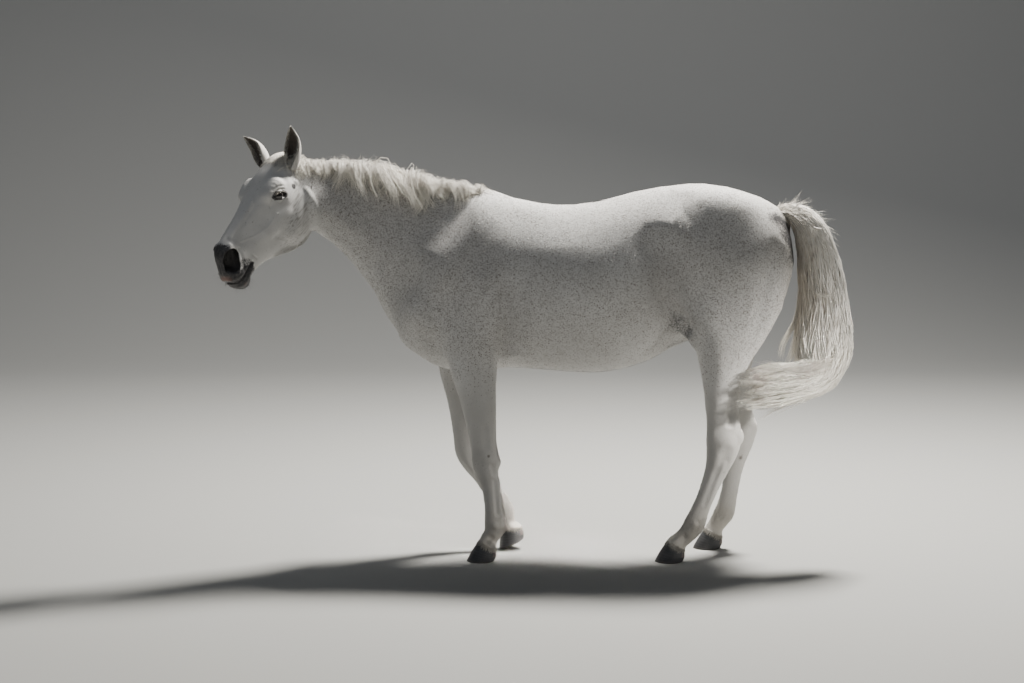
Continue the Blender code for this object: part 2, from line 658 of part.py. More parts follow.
def head_region_mesh(grow):
    """Everything in front of a slanting face behind the ears and the jaws, turned half as far as the head is."""
    behind_ears, throat = on_head(-0.030, 0, 0), on_head(0.080, 0, -0.255)
    across = Vector((math.sin(HEAD_TURN / 2), -math.cos(HEAD_TURN / 2), 0))
    backwards = (behind_ears - throat).cross(across).normalized()
    mesh = block_mesh("head_region", (0, 0, 0), 0, (0.95, 0.95, 0.90), grow)
    turn = backwards.to_track_quat("Z", "Y").to_matrix().to_4x4()
    mesh.transform(Matrix.Translation((behind_ears + throat) / 2) @ turn)
    return mesh


# ---------------------------------------------------------------- hooves


def hoof_place(side, kind):
    """The toe on the floor, and the foot's tilt on to it."""
    resting = (kind, side) == ("fore", "right")
    x = {("fore", "left"): -0.270, ("fore", "right"): -0.135, ("hind", "left"): 0.510, ("hind", "right"): 0.694}
    y = {"fore": 0.130, "hind": 0.140}
    place = Matrix.Translation((x[kind, side], SIDES[side] * y[kind], -TOE_WORN if resting else 0.0))
    return place @ Matrix.Rotation(-TOE_TILT if resting else 0.0, 4, "Y")


def hoof_row(kind, t):
    """The horn's outline at a share t of the way from the sole up to the coronet, with the toe at the origin."""
    half_width = HOOF_WIDTH[kind] / 2
    flare = 0.003 * math.sin(math.pi * t)
    row = []
    for k in range(HOOF_COLUMNS):
        angle = 2 * math.pi * k / HOOF_COLUMNS
        toe, side = math.cos(angle), math.sin(angle)
        heel = 0.86 if toe < 0 else 1.0
        ground = Vector((HOOF_LENGTH / 2 * (1 - toe * heel), side * half_width, 0))
        along = -toe * CORONET_LENGTH / 2
        crown = Vector((CORONET_BACK + along * math.cos(CORONET_SLOPE), side * half_width * 0.75,
                        CORONET_HEIGHT - along * math.sin(CORONET_SLOPE)))
        row.append(ground.lerp(crown, t) + Vector((-toe, side, 0)) * flare)
    return row


def hoof_mesh(name, kind, place):
    """The horn, from its flat sole up the slanting wall to the smaller coronet."""
    bm = bmesh.new()
    rows = [[bm.verts.new(p) for p in hoof_row(kind, level / HOOF_LEVELS)] for level in range(HOOF_LEVELS + 1)]
    for low, high in zip(rows, rows[1:]):
        for k in range(HOOF_COLUMNS):
            n = (k + 1) % HOOF_COLUMNS
            bm.faces.new((low[k], low[n], high[n], high[k]))
    bm.faces.new(rows[0])
    bm.faces.new(rows[-1])
    bmesh.ops.transform(bm, matrix=place, verts=bm.verts)
    if place.translation.z < 0:
        bmesh.ops.bisect_plane(bm, geom=bm.verts[:] + bm.edges[:] + bm.faces[:], plane_co=(0, 0, 0),
                               plane_no=(0, 0, -1), clear_outer=True)
        bmesh.ops.holes_fill(bm, edges=[e for e in bm.edges if e.is_boundary])
    bmesh.ops.triangulate(bm, faces=bm.faces)
    bmesh.ops.recalc_face_normals(bm, faces=bm.faces)
    mesh = bpy.data.meshes.new(name)
    bm.to_mesh(mesh)
    bm.free()
    return mesh


def under_coronet_mesh(place):
    """Where the horn is: everything under the coronet's slanting plane."""
    mesh = block_mesh("coronet_region", (CORONET_BACK, 0, CORONET_HEIGHT), math.degrees(CORONET_SLOPE),
                      (0.30, 0.20, 0.16), GAP)
    mesh.transform(place)
    return mesh


# ---------------------------------------------------------------- ears, eyes

EAR_LENGTH = 0.142
EAR_WIDTH = 0.066
EAR_WALL = 0.0045
EAR_ROOT_DEPTH = 0.030
EAR_ROWS, EAR_COLUMNS = 8, 6
# Root (down the face, sideways, out), the tip's place from the root, and the way the opening faces, as (x, y, z).
EARS = {
    "left": ((0.038, 0.070, -0.030), Vector((-0.002, -0.012, 0.140)), Vector((-0.35, -0.92, 0.10))),
    "right": ((0.050, -0.082, -0.018), Vector((-0.088, 0.040, 0.112)), Vector((-0.60, -0.75, -0.25))),
}


def ear_mesh(name, side):
    """A cupped leaf: a tube at its root, open down its front, widest at two fifths and closing to a point."""
    root, tip, facing = EARS[side]
    along = tip.normalized()
    front = (facing - along * facing.dot(along)).normalized()
    across = along.cross(front)
    base = on_head(*root) - along * EAR_ROOT_DEPTH
    bm = bmesh.new()
    rows = []
    for i in range(EAR_ROWS + 1):
        t = i / EAR_ROWS
        length = t * (EAR_LENGTH + EAR_ROOT_DEPTH)
        half = EAR_WIDTH / 2 * (0.62 + 1.55 * t - 0.62 * t**2 - 1.50 * t**3) + 0.0022 * t
        opening = math.radians(172 - 92 * min(1, 1.5 * t))
        row = []
        lean = 0.010 * math.sin(math.pi * t)
        for j in range(EAR_COLUMNS + 1):
            angle = opening * (2 * j / EAR_COLUMNS - 1)
            point = base + along * length - front * (math.cos(angle) * half * 0.85 + lean)
            row.append(bm.verts.new(point + across * math.sin(angle) * half))
        rows.append(row)
    for low, high in zip(rows, rows[1:]):
        for j in range(EAR_COLUMNS):
            bm.faces.new((low[j], low[j + 1], high[j + 1], high[j]))
    bmesh.ops.recalc_face_normals(bm, faces=bm.faces)
    mesh = bpy.data.meshes.new(name)
    bm.to_mesh(mesh)
    bm.free()
    shell = new_object(name, mesh)
    wall = shell.modifiers.new("Wall", "SOLIDIFY")
    wall.thickness = EAR_WALL
    wall.offset = 0.0
    wall.use_even_offset = False
    result = evaluated_copy(shell, name)
    bpy.data.objects.remove(shell, do_unlink=True)
    return result


def eye_mesh(name, side, radius=EYE_RADIUS):
    down, aside, out = EYE_PLACE
    bm = bmesh.new()
    bmesh.ops.create_uvsphere(bm, u_segments=12, v_segments=7, radius=radius)
    down_face, to_left, forehead = head_axes()
    turn = Matrix((down_face, forehead, to_left)).transposed().to_4x4()
    place = Matrix.Translation(on_head(down, -SIDES[side] * aside, out)) @ turn
    bmesh.ops.transform(bm, matrix=place, verts=bm.verts)
    bmesh.ops.recalc_face_normals(bm, faces=bm.faces)
    bmesh.ops.triangulate(bm, faces=bm.faces)
    mesh = bpy.data.meshes.new(name)
    bm.to_mesh(mesh)
    bm.free()
    return mesh


# ---------------------------------------------------------------- mane, forelock, tail

# Mane along the crest: x, distance to the left, height of its top, length down the left side, half thickness and
# lean of its lower end to the left.
MANE = [
    (-0.975, 0.205, 1.672, 0.050, 0.016, 0.020),
    (-0.930, 0.185, 1.678, 0.085, 0.020, 0.030),
    (-0.860, 0.150, 1.682, 0.110, 0.024, 0.040),
    (-0.780, 0.112, 1.680, 0.135, 0.026, 0.046),
    (-0.700, 0.082, 1.664, 0.160, 0.027, 0.050),
    (-0.620, 0.056, 1.645, 0.165, 0.027, 0.052),
    (-0.540, 0.036, 1.628, 0.155, 0.027, 0.056),
    (-0.460, 0.022, 1.612, 0.150, 0.026, 0.060),
    (-0.390, 0.012, 1.592, 0.125, 0.024, 0.060),
    (-0.310, 0.006, 1.570, 0.085, 0.020, 0.045),
    (-0.230, 0.002, 1.546, 0.045, 0.012, 0.024),
    (-0.175, 0.000, 1.528, 0.020, 0.004, 0.010),
]
# Tail: x, distance to the left, height, and half depth and half width across its own line.
TAIL = [
    (1.000, 0.000, 1.425, 0.045, 0.040),
    (1.060, 0.000, 1.432, 0.040, 0.038),
    (1.115, 0.002, 1.412, 0.055, 0.045),
    (1.155, 0.006, 1.365, 0.070, 0.052),
    (1.180, 0.010, 1.290, 0.080, 0.058),
    (1.198, 0.016, 1.190, 0.090, 0.062),
    (1.214, 0.024, 1.075, 0.094, 0.062),
    (1.213, 0.036, 0.960, 0.113, 0.060),
    (1.208, 0.056, 0.865, 0.114, 0.056),
    (1.185, 0.086, 0.780, 0.086, 0.050),
    (1.100, 0.130, 0.740, 0.070, 0.044),
    (1.000, 0.175, 0.728, 0.074, 0.040),
    (0.930, 0.205, 0.718, 0.066, 0.032),
    (0.880, 0.228, 0.708, 0.046, 0.022),
    (0.856, 0.238, 0.700, 0.022, 0.012),
]
TAIL_VOXEL = 0.012
TAIL_TRIANGLES = 600
TAIL_CUTS = {"dock": 1.385, "upper": 1.120, "middle": 0.835}


def mane_mesh():
    rings = []
    for x, shift, top, length, half, lean in blend_stations(MANE, 1):
        low = Vector((x, -shift - lean, top - length))
        high = Vector((x, -shift + 0.012, top))
        up = (high - low).normalized()
        side = Vector((0, 1, 0)) - up * up.y
        rings.append(ring((high + low) / 2, up, side.normalized(), (high - low).length / 2,
                          (half, half, half * 0.5), 2.0, 10))
    return loft("mane_clay", rings)


def forelock_mesh():
    """A short tuft between the ears, lying down the forehead."""
    stations = [
        (-0.045, -0.012, 0.022, 0.012),
        (0.000, 0.004, 0.030, 0.015),
        (0.040, 0.014, 0.030, 0.012),
        (0.080, 0.021, 0.022, 0.009),
        (0.115, 0.022, 0.009, 0.005),
    ]
    _, to_left, out = head_axes()
    rings = [
        ring(on_head(down, 0, height), out, to_left, thick, (half, half, half), 2.0, 10)
        for down, height, half, thick in blend_stations(stations, 1)
    ]
    return loft("forelock_clay", rings)


def tail_mesh():
    rows = blend_stations([(x, -aside, z, deep, wide) for x, aside, z, deep, wide in TAIL], STEPS)
    centres = [Vector(row[:3]) for row in rows]
    rings = []
    for i, (_, _, _, deep, wide) in enumerate(rows):
        along = (centres[min(i + 1, len(rows) - 1)] - centres[max(i - 1, 0)]).normalized()
        side = (Vector((0, 1, 0)) - along * along.y).normalized()
        rings.append(ring(centres[i], side.cross(along), side, deep, (wide, wide, wide), 2.0, 20))
    tail = new_object("tail_clay", loft("tail_clay", rings))
    remesh = tail.modifiers.new("Merge", "REMESH")
    remesh.mode = "VOXEL"
    remesh.voxel_size = TAIL_VOXEL
    smooth = tail.modifiers.new("Soften", "SMOOTH")
    smooth.factor = 0.5
    smooth.iterations = 4
    tail.data = evaluated_copy(tail, "tail_clay")
    tail.modifiers.clear()
    thin = tail.modifiers.new("Thin", "DECIMATE")
    thin.ratio = TAIL_TRIANGLES / (2 * len(tail.data.polygons))
    mesh = evaluated_copy(tail, "tail_clay")
    bpy.data.objects.remove(tail, do_unlink=True)
    return mesh


# ---------------------------------------------------------------- the whole horse


def leg_pieces(body, horse, tools, coat, horn):
    """Each leg in two lengths and its hoof. Returns what the trunk leaves room for."""
    for name, (kind, side, _, _) in LEGS.items():
        region = "foreleg" if kind == "fore" else "hindleg"
        joint = KNEE if kind == "fore" else HOCK
        place = hoof_place(side, kind)
        own = [region_mesh(region, 0.0), side_mesh(side, 0.0)]
        upper = carved(f"{name}_upper", body, own, [level_mesh(joint, GAP)], tools)
        lower = carved(f"{name}_lower", body, [*own, level_mesh(joint, 0.0)], [under_coronet_mesh(place)], tools)
        finish(f"{name}_upper", upper, coat, horse)
        finish(f"{name}_lower", lower, coat, horse)
        finish(f"hoof_{kind}_{side}", hoof_mesh(f"hoof_{kind}_{side}", kind, place), horn, horse)


def centre_on_box(horse):
    """Moves every mesh so that the origin lies on the floor under the middle of the horse's box."""
    points = np.concatenate([coordinates(obj.data) for obj in horse.objects])
    middle = (points.min(axis=0) + points.max(axis=0)) / 2
    shift = Matrix.Translation((-middle[0], -middle[1], 0))
    for obj in horse.objects:
        obj.data.transform(shift)


def main():
    clear_scene()
    horse = collection("horse")
    tools = collection("cutters")
    coat = finish_material("white_coat", (0.72, 0.70, 0.66), 0.75)
    horn = finish_material("slate_horn", (0.16, 0.155, 0.15), 0.45)
    hair = finish_material("cream_hair", (0.74, 0.69, 0.60), 0.60)
    inner_ear = finish_material("grey_ear", (0.50, 0.48, 0.45), 0.75)
    dark_eye = finish_material("dark_eye", (0.020, 0.012, 0.008), 0.08)

    clay = modelled_body()
    body = thinned(clay, BODY_TRIANGLES)
    bpy.data.objects.remove(clay, do_unlink=True)

    leg_pieces(body, horse, tools, coat, horn)
    front, front_grown = region_mesh("front", 0.0), region_mesh("front", GAP)
    head_part, head_part_grown = head_region_mesh(0.0), head_region_mesh(GAP)
    legs = [region_mesh("foreleg", GAP), region_mesh("hindleg", GAP)]
    trunk = carved("trunk", body, [], [front_grown, *legs], tools)
    neck = carved("neck", body, [front], [head_part_grown], tools)
    sockets = [eye_mesh("socket", side, EYE_RADIUS + GAP) for side in SIDES]
    head = carved("head", body, [front, head_part], sockets, tools)
    for name, mesh in (("trunk", trunk), ("neck", neck), ("head", head)):
        finish(name, mesh, coat, horse)
    for side in SIDES:
        finish(f"eye_{side}", eye_mesh(f"eye_{side}", side), dark_eye, horse)

    room = grown_mesh(body, HAIR_GAP)
    ears = {side: carved(f"ear_{side}", ear_mesh(f"ear_{side}", side), [], [room], tools) for side in SIDES}
    for side, mesh in ears.items():
        finish(f"ear_{side}", mesh, inner_ear, horse)
    round_ears = [grown_mesh(mesh, HAIR_GAP) for mesh in ears.values()]
    finish("forelock", carved("forelock", forelock_mesh(), [], [room, *round_ears], tools), hair, horse)
    finish("mane", carved("mane", mane_mesh(), [], [room, *round_ears], tools), hair, horse)

    tail = carved("tail", tail_mesh(), [], [room], tools)
    above = 3.0
    for name, height in (*TAIL_CUTS.items(), ("lower", 0.0)):
        keep = [level_mesh(above, 0.0)]
        finish(f"tail_{name}", carved(f"tail_{name}", tail, keep, [level_mesh(height, GAP)], tools), hair, horse)
        above = height
    centre_on_box(horse)


if __name__ == "__main__":
    main()
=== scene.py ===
"""A grey riding mare at life size, standing at rest with her head turned to the left, in her summer coat.

She faces -X, her left side is -Y and +Z is up, all in metres. One skin covers the flesh from the lips to the
coronets, and the eyes, hooves, ears, mane, forelock, tail and short coat are pieces of their own on it.
"""

import math

import bmesh
import bpy
import numpy as np
from mathutils import Matrix, Vector
from mathutils.bvhtree import BVHTree


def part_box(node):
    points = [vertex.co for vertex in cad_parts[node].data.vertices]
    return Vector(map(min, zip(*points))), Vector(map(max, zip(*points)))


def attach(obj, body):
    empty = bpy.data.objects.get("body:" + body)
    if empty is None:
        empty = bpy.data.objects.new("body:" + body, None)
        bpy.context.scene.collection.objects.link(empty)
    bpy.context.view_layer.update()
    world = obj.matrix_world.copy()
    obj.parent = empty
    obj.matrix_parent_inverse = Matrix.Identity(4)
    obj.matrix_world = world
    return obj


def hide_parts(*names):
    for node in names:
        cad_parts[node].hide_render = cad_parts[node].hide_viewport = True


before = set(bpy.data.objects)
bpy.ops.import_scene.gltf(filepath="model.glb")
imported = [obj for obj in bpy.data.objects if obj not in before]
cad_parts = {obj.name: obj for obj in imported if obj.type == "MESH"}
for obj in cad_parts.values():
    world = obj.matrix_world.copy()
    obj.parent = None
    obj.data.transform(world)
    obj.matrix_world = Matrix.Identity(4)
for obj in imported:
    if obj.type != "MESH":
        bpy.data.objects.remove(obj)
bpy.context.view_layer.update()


# -------- camera
# It stands square to the horse's left side, a little above the back, and looks slightly down.
CAMERA_PLACE = (-0.112, -8.1795, 1.705)
CAMERA_PITCH = math.radians(5.55)


def in_scene(name, data):
    """A new object in the scene that shows this mesh, camera or light."""
    made = bpy.data.objects.new(name, data)
    bpy.context.scene.collection.objects.link(made)
    return made


camera = in_scene("camera", bpy.data.cameras.new("camera"))
camera.data.lens = 70
camera.data.sensor_width = 36
camera.location = CAMERA_PLACE
camera.rotation_euler = (math.pi / 2 - CAMERA_PITCH, 0, 0)
bpy.context.scene.camera = camera

# -------- clay of the skin
# The flesh is laid up as rounded lofts of the trunk, neck, head and legs with soft muscle masses on them. They are
# merged on a fine grid into one closed skin, so nothing shows where one part of the body joins the next.
UP = Vector((0, 0, 1))
SIDES = {"left": -1.0, "right": 1.0}
GRID = 0.008  # of the merged skin, before the head and legs are made finer
RING_POINTS = 28
STEPS = 5  # rings from one station to the next
POLL = Vector((-1.015, -0.2, 1.695))
HEAD_TURN = math.radians(50)  # to the left of straight ahead
FACE_SLOPE = math.radians(43)  # of the face, away from vertical
HEAD_TILT = math.radians(3)  # of its left side, upwards

# The stations are measured from a point under the withers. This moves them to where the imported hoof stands.
hoof_low, hoof_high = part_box("hoof_fore_left")
HERE = np.array([hoof_low[0] + 0.27, (hoof_low[1] + hoof_high[1]) / 2 + 0.13, 0.0])


def metres(words):
    """Numbers that are written in millimetres, in metres."""
    return [round(float(word) / 1000, 7) for word in words if word != "|"]


def table(text):
    """Rows of numbers in millimetres, one row to a line."""
    return [metres(line.split()) for line in text.strip().splitlines()]


def brush_strokes(text):
    """Soft strokes, one to a line: a name, how wide it reaches, its height or strength in thousandths, and its path."""
    strokes = {}
    for line in text.strip().splitlines():
        name, *numbers = line.split()
        radius, height, *path = metres(numbers)
        strokes[name] = (np.reshape(path, (-1, 3)), radius, height)
    return strokes


# All tables are in millimetres, or in thousandths where a stroke's strength is meant.
# Trunk: x, top, bottom, half widths near the top, at the middle and near the bottom.
TRUNK = table("""
-560 1080 965 60 75 55
-535 1160 905 100 135 100
-460 1300 830 120 190 145
-340 1440 780 105 215 150
-215 1545 782 85 232 165
-60 1502 790 130 255 185
120 1474 777 195 285 205
285 1492 772 215 298 215
450 1534 806 205 285 205
600 1558 880 195 262 180
720 1562 920 185 262 170
850 1540 940 165 252 165
960 1502 980 130 215 140
1045 1450 1060 80 140 100
1080 1400 1160 40 70 55
""")

# Neck: the top and bottom of each slanting section as x, z, its shift to the left, and three half widths.
NECK = table("""
-1000 1640 -955 1430 205 50 70 60
-915 1646 -885 1372 168 42 76 68
-815 1646 -800 1302 116 34 78 66
-700 1630 -723 1211 70 32 86 68
-580 1603 -657 1111 34 34 102 78
-450 1574 -608 1024 12 40 130 100
-330 1558 -560 950 0 52 165 125
-220 1535 -500 880 0 70 205 150
""")

# Head: down the face, dorsal and ventral height over the face's axis, and three half widths.
HEAD = table("""
-30 -45 -140 35 50 40
10 -6 -200 52 70 55
70 14 -270 76 88 66
130 20 -308 98 102 70
195 16 -324 112 105 70
260 8 -312 86 96 62
320 2 -276 58 81 50
380 0 -238 46 67 43
440 -2 -212 43 58 40
495 -3 -206 48 57 40
534 -20 -209 48 60 42
561 -60 -197 31 52 37
582 -92 -168 16 30 22
""")

# Legs: x, height, half depth, half width and distance from the middle of each station down to the coronet.
FORE_STANDING = table("""
-262 1040 130 60 140
-252 930 128 66 146
-243 850 113 64 146
-232 760 92 57 142
-218.5 660 76.5 50 138
-207 570 65.5 44 134
-198 490 58 40 131
-190 438 60 43.5 130
-187 400 57 45 130
-181 358 49 40 130
-169 318 45 32.5 130
-160 265 42.5 28.5 130
-154 205 44.5 30.5 130
-150 152 50 37 130
-160 116 41 33.5 130
-178 89 39 34 130
-196 62 43 43 130
""")
FORE_RESTING = table("""
-300 1040 120 60 140
-298 930 120 66 146
-300 850 110 64 146
-300 760 92 57 142
-287 660 76.5 50 138
-281 570 65.5 44 134
-277 490 58 40 131
-269 438 60 43.5 130
-256 398 59 45 130
-236 356 50 40 130
-210 314 40.5 32 130
-180 268 40 28 130
-146 220 41 30 130
-117 172 46 36 130
-106 142 40 33.5 130
-113 111 29 32 130
-91.8 86.8 43 43 130
""")
HIND_LEFT = table("""
830 1240 210 110 120
828 1130 218 106 142
812 1030 196 96 156
800 940 160 84 160
788 855 119 70 158
780 770 88 58 155
780 690 74 49 152
784 610 70 42 150
789 550 73 42 150
790 503 76 46 150
782 452 67 46 149
765 392 53 38 147
742 330 44 32 145
716 262 40 29 143
693 205 42 31 141
674 156 47 37 140
650 120 42 33.5 140
618 89 39 34 140
584 62 43 41 140
""")
HIND_RIGHT = table("""
850 1240 205 110 120
850 1130 212 106 142
842 1030 190 96 156
845 940 150 84 160
850 855 115 70 158
856 770 88 58 155
866 690 74 49 152
876 610 70 42 150
885 550 73 42 150
889 503 76 46 150
884 452 67 46 149
873 392 53 38 147
862 330 44 32 145
853 262 40 29 143
841 205 42 31 141
829 156 47 37 140
808 120 42 33.5 140
788 89 39 34 140
768 62 43 41 140
""")
LEGS = {
    "foreleg_left": ("left", FORE_STANDING),
    "foreleg_right": ("right", FORE_RESTING),
    "hindleg_left": ("left", HIND_LEFT),
    "hindleg_right": ("right", HIND_RIGHT),
}

# Muscle masses on both sides: centre as x, distance from the middle, z, then radii along their own axes, and the
# tilt of the long axis forwards from vertical, in degrees.
MASSES = """
shoulder -330 120 1150 | 130 100 240 | 38
breast -440 70 935 | 70 70 100 | 25
upper_arm -250 130 1030 | 140 85 170 | -20
croup 740 90 1350 | 240 140 190 | 0
stifle 690 165 1010 | 80 60 120 | -15
thigh 800 160 1150 | 190 95 220 | -10
buttock 1000 90 1220 | 80 75 150 | -8
ham 940 140 1040 | 75 65 170 | -26
"""


# Strokes on both sides of the body, as x, distance from the middle, z. A height below 0 makes a hollow.
BODY_STROKES = brush_strokes("""
shoulder_blade 110 18 | -215 110 1460  -330 190 1250  -430 210 1090
shoulder_spine 50 7 | -215 130 1430  -400 210 1130
point_of_shoulder 110 22 | -480 175 1040
breast 100 15 | -600 60 1040  -545 60 900
upper_arm 85 14 | -440 200 1000  -250 215 930
triceps 95 16 | -210 220 1170  -190 205 980
elbow_crease 65 -20 | -100 240 1130  -100 215 970  -105 180 850
shoulder_groove 70 -12 | -430 150 1320  -560 160 1080
shoulder_dimple 36 -16 | -452 200 960
forearm_front 50 -8 | -430 180 940  -370 150 820
breast_furrow 50 -14 | -600 0 1060  -560 0 900  -470 0 810
jugular_groove 45 -14 | -840 80 1400  -720 100 1290  -590 135 1110
neck_muscle 80 11 | -880 80 1500  -720 100 1390  -560 150 1230
withers_hollow 75 -10 | -480 90 1520  -330 130 1450
back_hollow 90 -5 | -60 170 1440  160 220 1400
girth 90 -6 | -10 240 1150  -10 150 830
barrel 260 14 | 250 300 1130
point_of_hip 85 18 | 565 235 1400
hip_joint 110 18 | 830 260 1220
croup 120 8 | 700 120 1520  880 130 1480
flank 120 -36 | 500 270 1310  555 265 1170
groin_fold 65 -34 | 548 265 1080  598 245 995  622 225 955
stifle 115 22 | 690 245 1040
ham_groove 50 -13 | 990 180 1300  960 215 1130  900 230 980
thigh_groove 60 -11 | 830 270 1120  830 230 950
gaskin 60 10 | 760 240 900  770 210 800
dock_hollow 45 -10 | 1070 45 1390  1080 20 1300
knee_bone 35 6 | -130 130 412
fetlock_tuft 30 4 | -105 130 140
""")
# Strokes on the head, as places down the face, away from its middle and out of the forehead.
HEAD_STROKES = brush_strokes("""
brow 42 27 | 160 86 -16  196 84 -13  228 78 -18
below_eye 40 -4 | 225 104 -90
brow_hollow 42 -10 | 118 72 -2
temple 45 -5 | 80 84 -60
face_crest 44 6 | 235 106 -122  350 82 -122
cheek 105 14 | 150 80 -200  205 80 -215
cheek_front 50 -7 | 308 60 -245  318 70 -175
jaw_channel 40 -4 | 130 0 -305  420 0 -215
nose_side 50 -6 | 310 75 -60  430 58 -65
nostril_rim 34 9 | 490 46 -30  530 58 -50  556 56 -90
nostril 20 -12 | 522 62 -50  548 56 -88
mouth 14 -3 | 472 58 -150  545 50 -152  592 0 -136
chin 40 10 | 540 20 -200
chin_groove 36 -7 | 478 0 -207
""")


def head_axes():
    """Down the face, to the left, and out of the forehead."""
    ahead = Vector((-math.cos(HEAD_TURN), -math.sin(HEAD_TURN), 0))
    down_face = ahead * math.sin(FACE_SLOPE) - UP * math.cos(FACE_SLOPE)
    forehead = ahead * math.cos(FACE_SLOPE) + UP * math.sin(FACE_SLOPE)
    level = UP.cross(ahead)
    to_left = level * math.cos(HEAD_TILT) + forehead * math.sin(HEAD_TILT)
    return down_face, to_left, forehead * math.cos(HEAD_TILT) - level * math.sin(HEAD_TILT)


HEAD_AXES = np.array([list(axis) for axis in head_axes()])


def on_head(down, left, out):
    """A point of the head's own frame, in the horse's frame."""
    down_face, to_left, forehead = head_axes()
    return POLL + down_face * down + to_left * left + forehead * out


def blend_stations(rows, steps):
    """Rows of numbers, with smooth rows put in between them on a Catmull-Rom curve."""
    rows = np.array(rows, float)
    ends = np.vstack([2 * rows[0] - rows[1], rows, 2 * rows[-1] - rows[-2]])
    made = []
    for i in range(len(rows) - 1):
        before, start, stop, after = ends[i : i + 4]
        for t in np.arange(steps) / steps:
            made.append(
                0.5 * (2 * start + (stop - before) * t
                       + (2 * before - 5 * start + 4 * stop - after) * t**2
                       + (3 * start - before - 3 * stop + after) * t**3)
            )
    made.append(rows[-1])
    return made


def ring(centre, up, side, half_height, widths, squareness=2.2, count=RING_POINTS):
    """One closed cross section, whose half width changes from its top through its middle to its bottom."""
    high, middle, low = widths
    points = []
    for k in range(count):
        angle = 2 * math.pi * k / count
        across, height = (
            math.copysign(abs(v) ** (2 / squareness), v) for v in (math.cos(angle), math.sin(angle))
        )
        width = middle + height * (high - low) / 2 + height**2 * ((high + low) / 2 - middle)
        points.append(centre + side * across * width + up * height * half_height)
    return points


def loft(name, rings):
    """A closed mesh through the rings, with a point at the middle of each end."""
    bm = bmesh.new()
    rows = [[bm.verts.new(p) for p in points] for points in rings]
    count = len(rows[0])
    for a, b in zip(rows, rows[1:]):
        for k in range(count):
            n = (k + 1) % count
            bm.faces.new((a[k], a[n], b[n], b[k]))
    for row in (rows[0], rows[-1]):
        middle = bm.verts.new(sum((v.co for v in row), Vector()) / count)
        for k in range(count):
            bm.faces.new((row[k], row[(k + 1) % count], middle))
    bmesh.ops.recalc_face_normals(bm, faces=bm.faces)
    if bm.calc_volume(signed=True) < 0:
        bmesh.ops.reverse_faces(bm, faces=bm.faces)
    mesh = bpy.data.meshes.new(name)
    bm.to_mesh(mesh)
    bm.free()
    mesh.shade_smooth()
    return mesh


def trunk_mesh():
    """The trunk's level rings, from the breast to the buttocks."""
    rings = []
    for x, top, bottom, high, middle, low in blend_stations(TRUNK, STEPS):
        centre = Vector((x, 0, (top + bottom) / 2))
        rings.append(ring(centre, UP, Vector((0, 1, 0)), (top - bottom) / 2, (high, middle, low), 2.3))
    return loft("trunk_clay", rings)


def neck_mesh():
    """The neck's rings, square to its bend, from the withers to behind the ears."""
    stations = blend_stations(NECK, STEPS)
    rings = []
    for i, (top_x, top_z, low_x, low_z, shift, *widths) in enumerate(stations):
        top, low = Vector((top_x, -shift, top_z)), Vector((low_x, -shift, low_z))
        before, after = stations[max(i - 1, 0)], stations[min(i + 1, len(stations) - 1)]
        along = Vector((after[0] + after[2] - before[0] - before[2], 2 * (before[4] - after[4]), 0)).normalized()
        rings.append(ring((top + low) / 2, (top - low).normalized(), UP.cross(along).normalized(),
                          (top - low).length / 2, widths, 2.1))
    return loft("neck_clay", rings)


def head_mesh():
    """The head's rings, square to the face, from the poll to the lips."""
    _, to_left, out = head_axes()
    rings = [
        ring(on_head(down, 0, (high + low) / 2), out, to_left, (high - low) / 2, widths, 2.5)
        for down, high, low, *widths in blend_stations(HEAD, STEPS)
    ]
    return loft("head_clay", rings)


def limb_mesh(name, stations, sign):
    """A leg: rings square to its own line, deep from front to back and narrow from side to side."""
    rows = blend_stations(stations, STEPS)
    centres = [Vector((x, sign * aside, z)) for x, z, _, _, aside in rows]
    rows.append(rows[-1])  # on into the hoof, to be cut off at the coronet
    centres.append(centres[-1] + (centres[-1] - centres[-2]).normalized() * 0.025)
    side = Vector((0, 1, 0))
    rings = []
    for i, (_, _, depth, width, _) in enumerate(rows):
        along = (centres[min(i + 1, len(rows) - 1)] - centres[max(i - 1, 0)]).normalized()
        forward = side.cross(along).normalized()
        rings.append(ring(centres[i], forward, along.cross(forward), depth, (width, width, width * 0.9), 2.1))
    return loft(name, rings)


def mass_mesh(name, centre, radii, tilt, sign):
    """One muscle: a ball with three radii, tilted forwards."""
    bm = bmesh.new()
    bmesh.ops.create_icosphere(bm, subdivisions=4, radius=1.0)
    place = Matrix.Translation((centre[0], sign * centre[1], centre[2]))
    turn = Matrix.Rotation(math.radians(-tilt), 4, "Y")
    bmesh.ops.transform(bm, matrix=place @ turn @ Matrix.Diagonal((*radii, 1.0)), verts=bm.verts)
    mesh = bpy.data.meshes.new(name)
    bm.to_mesh(mesh)
    bm.free()
    return mesh


def coordinates(mesh, what="co"):
    """The mesh's points, or the normals at them, as rows of three."""
    values = np.zeros(len(mesh.vertices) * 3)
    source = mesh.vertices if what == "co" else mesh.vertex_normals
    source.foreach_get("co" if what == "co" else "vector", values)
    return values.reshape(-1, 3)


def head_frame(points):
    """Points as distances down the face, sideways either way, and out of the forehead."""
    return (points - np.array(POLL)) @ HEAD_AXES.T


def neck_shift(points):
    """How far the neck's middle lies to the left at each point's x."""
    return np.interp(points[:, 0], [(row[0] + row[2]) / 2 for row in NECK], [row[4] for row in NECK])


def body_frame(points):
    """Points with the neck's bend taken out, so that the horse's middle is y = 0."""
    straight = points.copy()
    straight[:, 1] += neck_shift(points)
    return straight


def share_in_head(points):
    """1 in the head, 0 well behind it."""
    local = head_frame(points)
    behind = local[:, 0] + 0.53 * local[:, 2]
    return np.clip((behind + 0.03) / 0.06, 0, 1) * (points[:, 0] < -0.75) * (points[:, 2] > 1.0)


